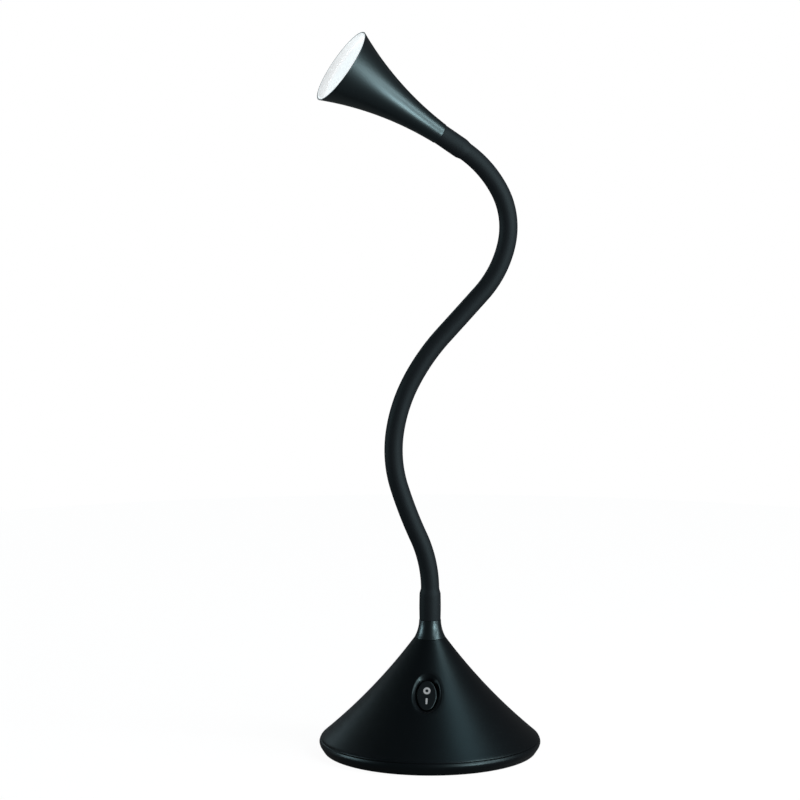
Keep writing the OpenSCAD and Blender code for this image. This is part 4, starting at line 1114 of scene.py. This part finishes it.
def on_face(xy, lift=0.0):
    """Points over the rocker's face at xy, raised by lift."""
    return np.column_stack([xy, rocker_face(xy[:, 1]) + lift])


def rocker_rings(columns=144, edge=0.7 * MM, foot_z=-0.2 * MM):
    """Rings of the rocker from the middle of its face out over a rounded edge, down its side and
    in to the middle of its foot. Each ring is the oval moved inwards, at the face's height."""
    s = shape()
    a, b = s.rocker_half_width, s.rocker_half_height
    alpha = np.linspace(-math.pi, math.pi, columns, endpoint=False)
    rings = [on_face(oval_point(alpha, a, b, -edge) * t) for t in np.linspace(0, 1, 15)]
    for turn in np.linspace(0, math.pi / 2, 8)[1:]:
        xy = oval_point(alpha, a, b, edge * (math.sin(turn) - 1))
        rings.append(on_face(xy, edge * (math.cos(turn) - 1)))
    side = oval_point(alpha, a, b, 0)
    skirt = np.where(np.abs(side[:, 1]) < 3 * MM, -1.4 * MM, foot_z)
    top = rocker_face(side[:, 1]) - edge
    for t in (0.35, 0.7, 1.0):
        rings.append(np.column_stack([side, top * (1 - t) + foot_z * t]))
    pit = -3.2 * MM
    for t, z in ((0.9, foot_z), (0.5, skirt), (0.25, pit), (0.0, pit)):
        rings.append(np.column_stack([side * t, np.broadcast_to(z, columns)]))
    return np.array(rings)


def mark_ring(middle, inner, outer, proud, columns=72):
    """A printed round: a flat band between two radii that follows the face, its edges drawn in."""
    ring = unit(once_round(columns))
    soft, half = 0.12 * MM, (inner + outer) / 2
    return np.array([on_face(ring * radius + (0, middle), proud * lift) for radius, lift in (
        (inner, -1), (inner, 0.6), (inner + soft, 1), (half, 1), (outer - soft, 1), (outer, 0.6),
        (outer, -1), (half, -1))])


def mark_bar(middle, half_w, half_h, proud, columns=48, corner=0.35):
    """A printed bar: rounded-rectangle rings from its middle out and under. A point has the
    signs of cos t and sin t, and half the bar's sizes times |cos t| and |sin t| to the power
    of corner."""
    ring = unit(once_round(columns))
    x, y = ((half_w, half_h) * np.sign(ring) * np.abs(ring) ** corner).T
    rows = []
    for scale, lift in ((0.0, 1), (0.5, 1), (0.9, 1), (1.0, 0.6), (1.0, -1), (0.5, -1), (0.0, -1)):
        inset = (1 - scale) * (half_w / half_h if scale > 0.8 else 1.0)
        rows.append(on_face(np.stack([x * scale, middle + y * (1 - inset)], 1), proud * lift))
    return np.array(rows)


class LAMP_OT_switch(bpy.types.Operator):
    """Build the rocker and the round and bar printed on it"""
    bl_idname = "lamp.switch"
    bl_label = "Rocker switch"

    def execute(self, context):
        rings = rocker_rings()
        piece = add_piece("rocker_cap", rocker_points(rings), quads_of(*rings.shape[:2]),
                          "switch_plastic", "black_switch", sharp=50)
        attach(piece, "rocker")
        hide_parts("switch_rocker")
        proud = 0.05 * MM
        ring = mark_ring(3.1 * MM, 0.95 * MM, 2.15 * MM, proud)
        bar = mark_bar(-3.4 * MM, 0.55 * MM, 1.95 * MM, proud)
        points = np.concatenate([rocker_points(ring), rocker_points(bar)])
        quads = np.concatenate([quads_of(*ring.shape[:2], ring_rows=True),
                                quads_of(*bar.shape[:2], first=ring[..., 0].size)])
        marks = add_piece("rocker_print", points, quads, "print_white", "white_print", sharp=60)
        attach(marks, "rocker")
        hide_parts("rocker_marks")
        return {"FINISHED"}


# ---- what stays as the frame has it ----

class LAMP_OT_inner_parts(bpy.types.Operator):
    """Give the frame's own nodes their materials: fittings, fasteners, boards, wires and cores"""
    bl_idname = "lamp.inner_parts"
    bl_label = "Inner parts"

    def execute(self, context):
        others = {"spring_steel": "plated_steel", "black_switch": "switch_plastic",
                  "green_board": "circuit_board"}
        for part in frame["record"]["subparts"]:
            slot = part["material_slot"]
            name = others.get(slot, slot)
            node = frame["nodes"][part["node"]]
            if name in FINISHES and not node.hide_render:
                node.data.materials.clear()
                node.data.materials.append(finish(name))
        return {"FINISHED"}


# ---- the stage ----

# Name, azimuth and elevation in degrees, width and height in metres, power in watts and tint.
SOFTBOXES = (
    ("key_right", 45, 13, (0.7, 1.0), 6.0, (1, 1, 1)),
    ("low_right", 51, -3, (0.5, 0.2), 11.0, (1, 1, 1)),
    ("side_right", 76, 6, (0.4, 1.0), 8.5, (1, 1, 1)),
    ("high_right", 66, 34, (0.5, 0.6), 9.0, (1, 1, 1)),
    ("side_left", -86, 4, (0.6, 0.6), 9.0, (0.85, 0.96, 1.0)),
    ("top_right", 84, 60, (0.6, 0.6), 3.0, (0.70, 0.92, 1.0)),
    ("back_left", -150, 24, (0.6, 0.6), 2.0, (0.70, 0.92, 1.0)),
)


def camera_mix(tree, seen, lit):
    """Mixes two shaders: what the camera and clear surfaces see, and what light meets. A part of
    the seen one also shows in reflections."""
    rays = add_node(tree, "ShaderNodeLightPath").outputs
    clear = maths(tree, "MAXIMUM", rays["Is Camera Ray"], rays["Is Transmission Ray"])
    gloss = bpy.context.scene.lamp_stage.backdrop_in_gloss
    both = maths(tree, "MAXIMUM", clear, maths(tree, "MULTIPLY", rays["Is Glossy Ray"], gloss))
    return add_node(tree, "ShaderNodeMixShader", both, lit, seen).outputs[0]


def direction(azimuth, elevation):
    """The unit vector at an angle round the lamp: azimuth 0 is in front, at -Y, and a quarter
    turn is to the right, at +X."""
    return np.array([math.sin(azimuth) * math.cos(elevation),
                     -math.cos(azimuth) * math.cos(elevation), math.sin(elevation)])


def stand(name, data, target, way, distance):
    """A camera or lamp that stands off from a point and has its -Z turned at it."""
    obj = bpy.data.objects.new(name, data)
    bpy.context.scene.collection.objects.link(obj)
    obj.location = np.array(target) + way * distance
    turn = Vector(np.array(target) - np.array(obj.location)).to_track_quat("-Z", "Y")
    obj.rotation_euler = turn.to_euler()
    return obj


class LAMP_OT_stage(bpy.types.Operator):
    """Set up the camera, the pale floor and the soft studio lights"""
    bl_idname = "lamp.stage"
    bl_label = "Studio"

    def execute(self, context):
        self.camera(context.scene)
        self.floor(context.scene)
        self.world(context.scene)
        p = context.scene.lamp_stage
        for name, azimuth, elevation, size, power, tint in SOFTBOXES:
            lamp = bpy.data.lights.new(name, "AREA")
            lamp.shape = "RECTANGLE"
            lamp.size, lamp.size_y = size
            lamp.energy = power
            lamp.color = tint
            way = direction(math.radians(azimuth), math.radians(elevation))
            stand(name, lamp, UP * p.lamp_target, way, p.lamp_distance)
        context.scene.view_settings.view_transform = "Standard"
        return {"FINISHED"}

    def camera(self, scene):
        """A long lens that looks at a point beside the lamp's axis."""
        p = scene.lamp_stage
        data = bpy.data.cameras.new("camera")
        data.lens = p.lens
        data.sensor_width = 36
        right = direction(p.azimuth + math.pi / 2, 0)
        target = right * p.target_side + UP * p.target_height
        scene.camera = stand("camera", data, target, direction(p.azimuth, p.elevation), p.distance)

    def floor(self, scene):
        """A wide disc on the desk's level. Its colour is white to the camera, less the lamp's
        shadow, which a part of plain grey surface keeps."""
        ring = np.pad(unit(once_round(96)), ((0, 0), (0, 1)))
        rings = np.array([radius * ring for radius in (0.0, 0.1, 0.3, 0.8)])
        mesh = bpy.data.meshes.new("floor")
        fill_mesh(mesh, rings.reshape(-1, 3), quads_of(*rings.shape[:2]))
        mesh.shade_smooth()
        floor = bpy.data.objects.new("floor", mesh)
        scene.collection.objects.link(floor)
        material = bpy.data.materials.new("floor_white")
        material.use_nodes = True
        tree = material.node_tree
        plain = tree.nodes["Principled BSDF"]
        for socket, value in (("Base Color", (0.12, 0.121, 0.122, 1)), ("Roughness", 0.9),
                              ("Specular IOR Level", 0.0)):
            plain.inputs[socket].default_value = value
        p = scene.lamp_stage
        glow = add_node(tree, "ShaderNodeEmission", Strength=p.floor_glow)
        black = add_node(tree, "ShaderNodeBsdfDiffuse", Color=(0, 0, 0, 1))
        dim = add_node(tree, "ShaderNodeMixShader", p.floor_shadow, black.outputs[0],
                       plain.outputs[0])
        part = add_node(tree, "ShaderNodeAddShader", glow.outputs[0], dim.outputs[0])
        feed(tree, tree.nodes["Material Output"].inputs["Surface"],
             camera_mix(tree, part.outputs[0], plain.outputs[0]))
        mesh.materials.append(material)

    def world(self, scene):
        """A dim sky that lights from all round; the camera sees plain white in its place."""
        p = scene.lamp_stage
        scene.world = bpy.data.worlds.new("studio")
        scene.world.use_nodes = True
        tree = scene.world.node_tree
        lit = tree.nodes["Background"]
        lit.inputs["Color"].default_value = (*p.sky_tint, 1)
        lit.inputs["Strength"].default_value = p.sky_strength
        seen = add_node(tree, "ShaderNodeBackground", Color=(1, 1, 1, 1), Strength=1.0)
        feed(tree, tree.nodes["World Output"].inputs["Surface"],
             camera_mix(tree, seen.outputs[0], lit.outputs[0]))


class LAMP_PT_panel(bpy.types.Panel):
    """Lists the pieces and their settings in the sidebar"""
    bl_label = "Gooseneck desk lamp"
    bl_space_type = "VIEW_3D"
    bl_region_type = "UI"
    bl_category = "Lamp"

    def draw(self, context):
        for operator in OPERATORS:
            self.layout.operator(operator.bl_idname)
        for key, group in SETTINGS.items():
            box = self.layout.box()
            for name in group.__annotations__:
                box.prop(getattr(context.scene, key), name)


OPERATORS = (LAMP_OT_stage, LAMP_OT_cover, LAMP_OT_pan, LAMP_OT_collar, LAMP_OT_neck, LAMP_OT_lead,
             LAMP_OT_head, LAMP_OT_switch, LAMP_OT_inner_parts)
SETTINGS = {"lamp_shape": LampShape, "lamp_finish": LampFinish, "lamp_stage": LampStage}
CLASSES = (*SETTINGS.values(), *OPERATORS, LAMP_PT_panel)


def register():
    for kind in CLASSES:
        bpy.utils.register_class(kind)
    for key, group in SETTINGS.items():
        setattr(bpy.types.Scene, key, bpy.props.PointerProperty(type=group))


def unregister():
    for key in SETTINGS:
        delattr(bpy.types.Scene, key)
    for kind in reversed(CLASSES):
        bpy.utils.unregister_class(kind)


def main():
    register()
    for operator in OPERATORS:
        _, name = operator.bl_idname.split(".")
        getattr(bpy.ops.lamp, name)()


if __name__ == "__main__":
    main()
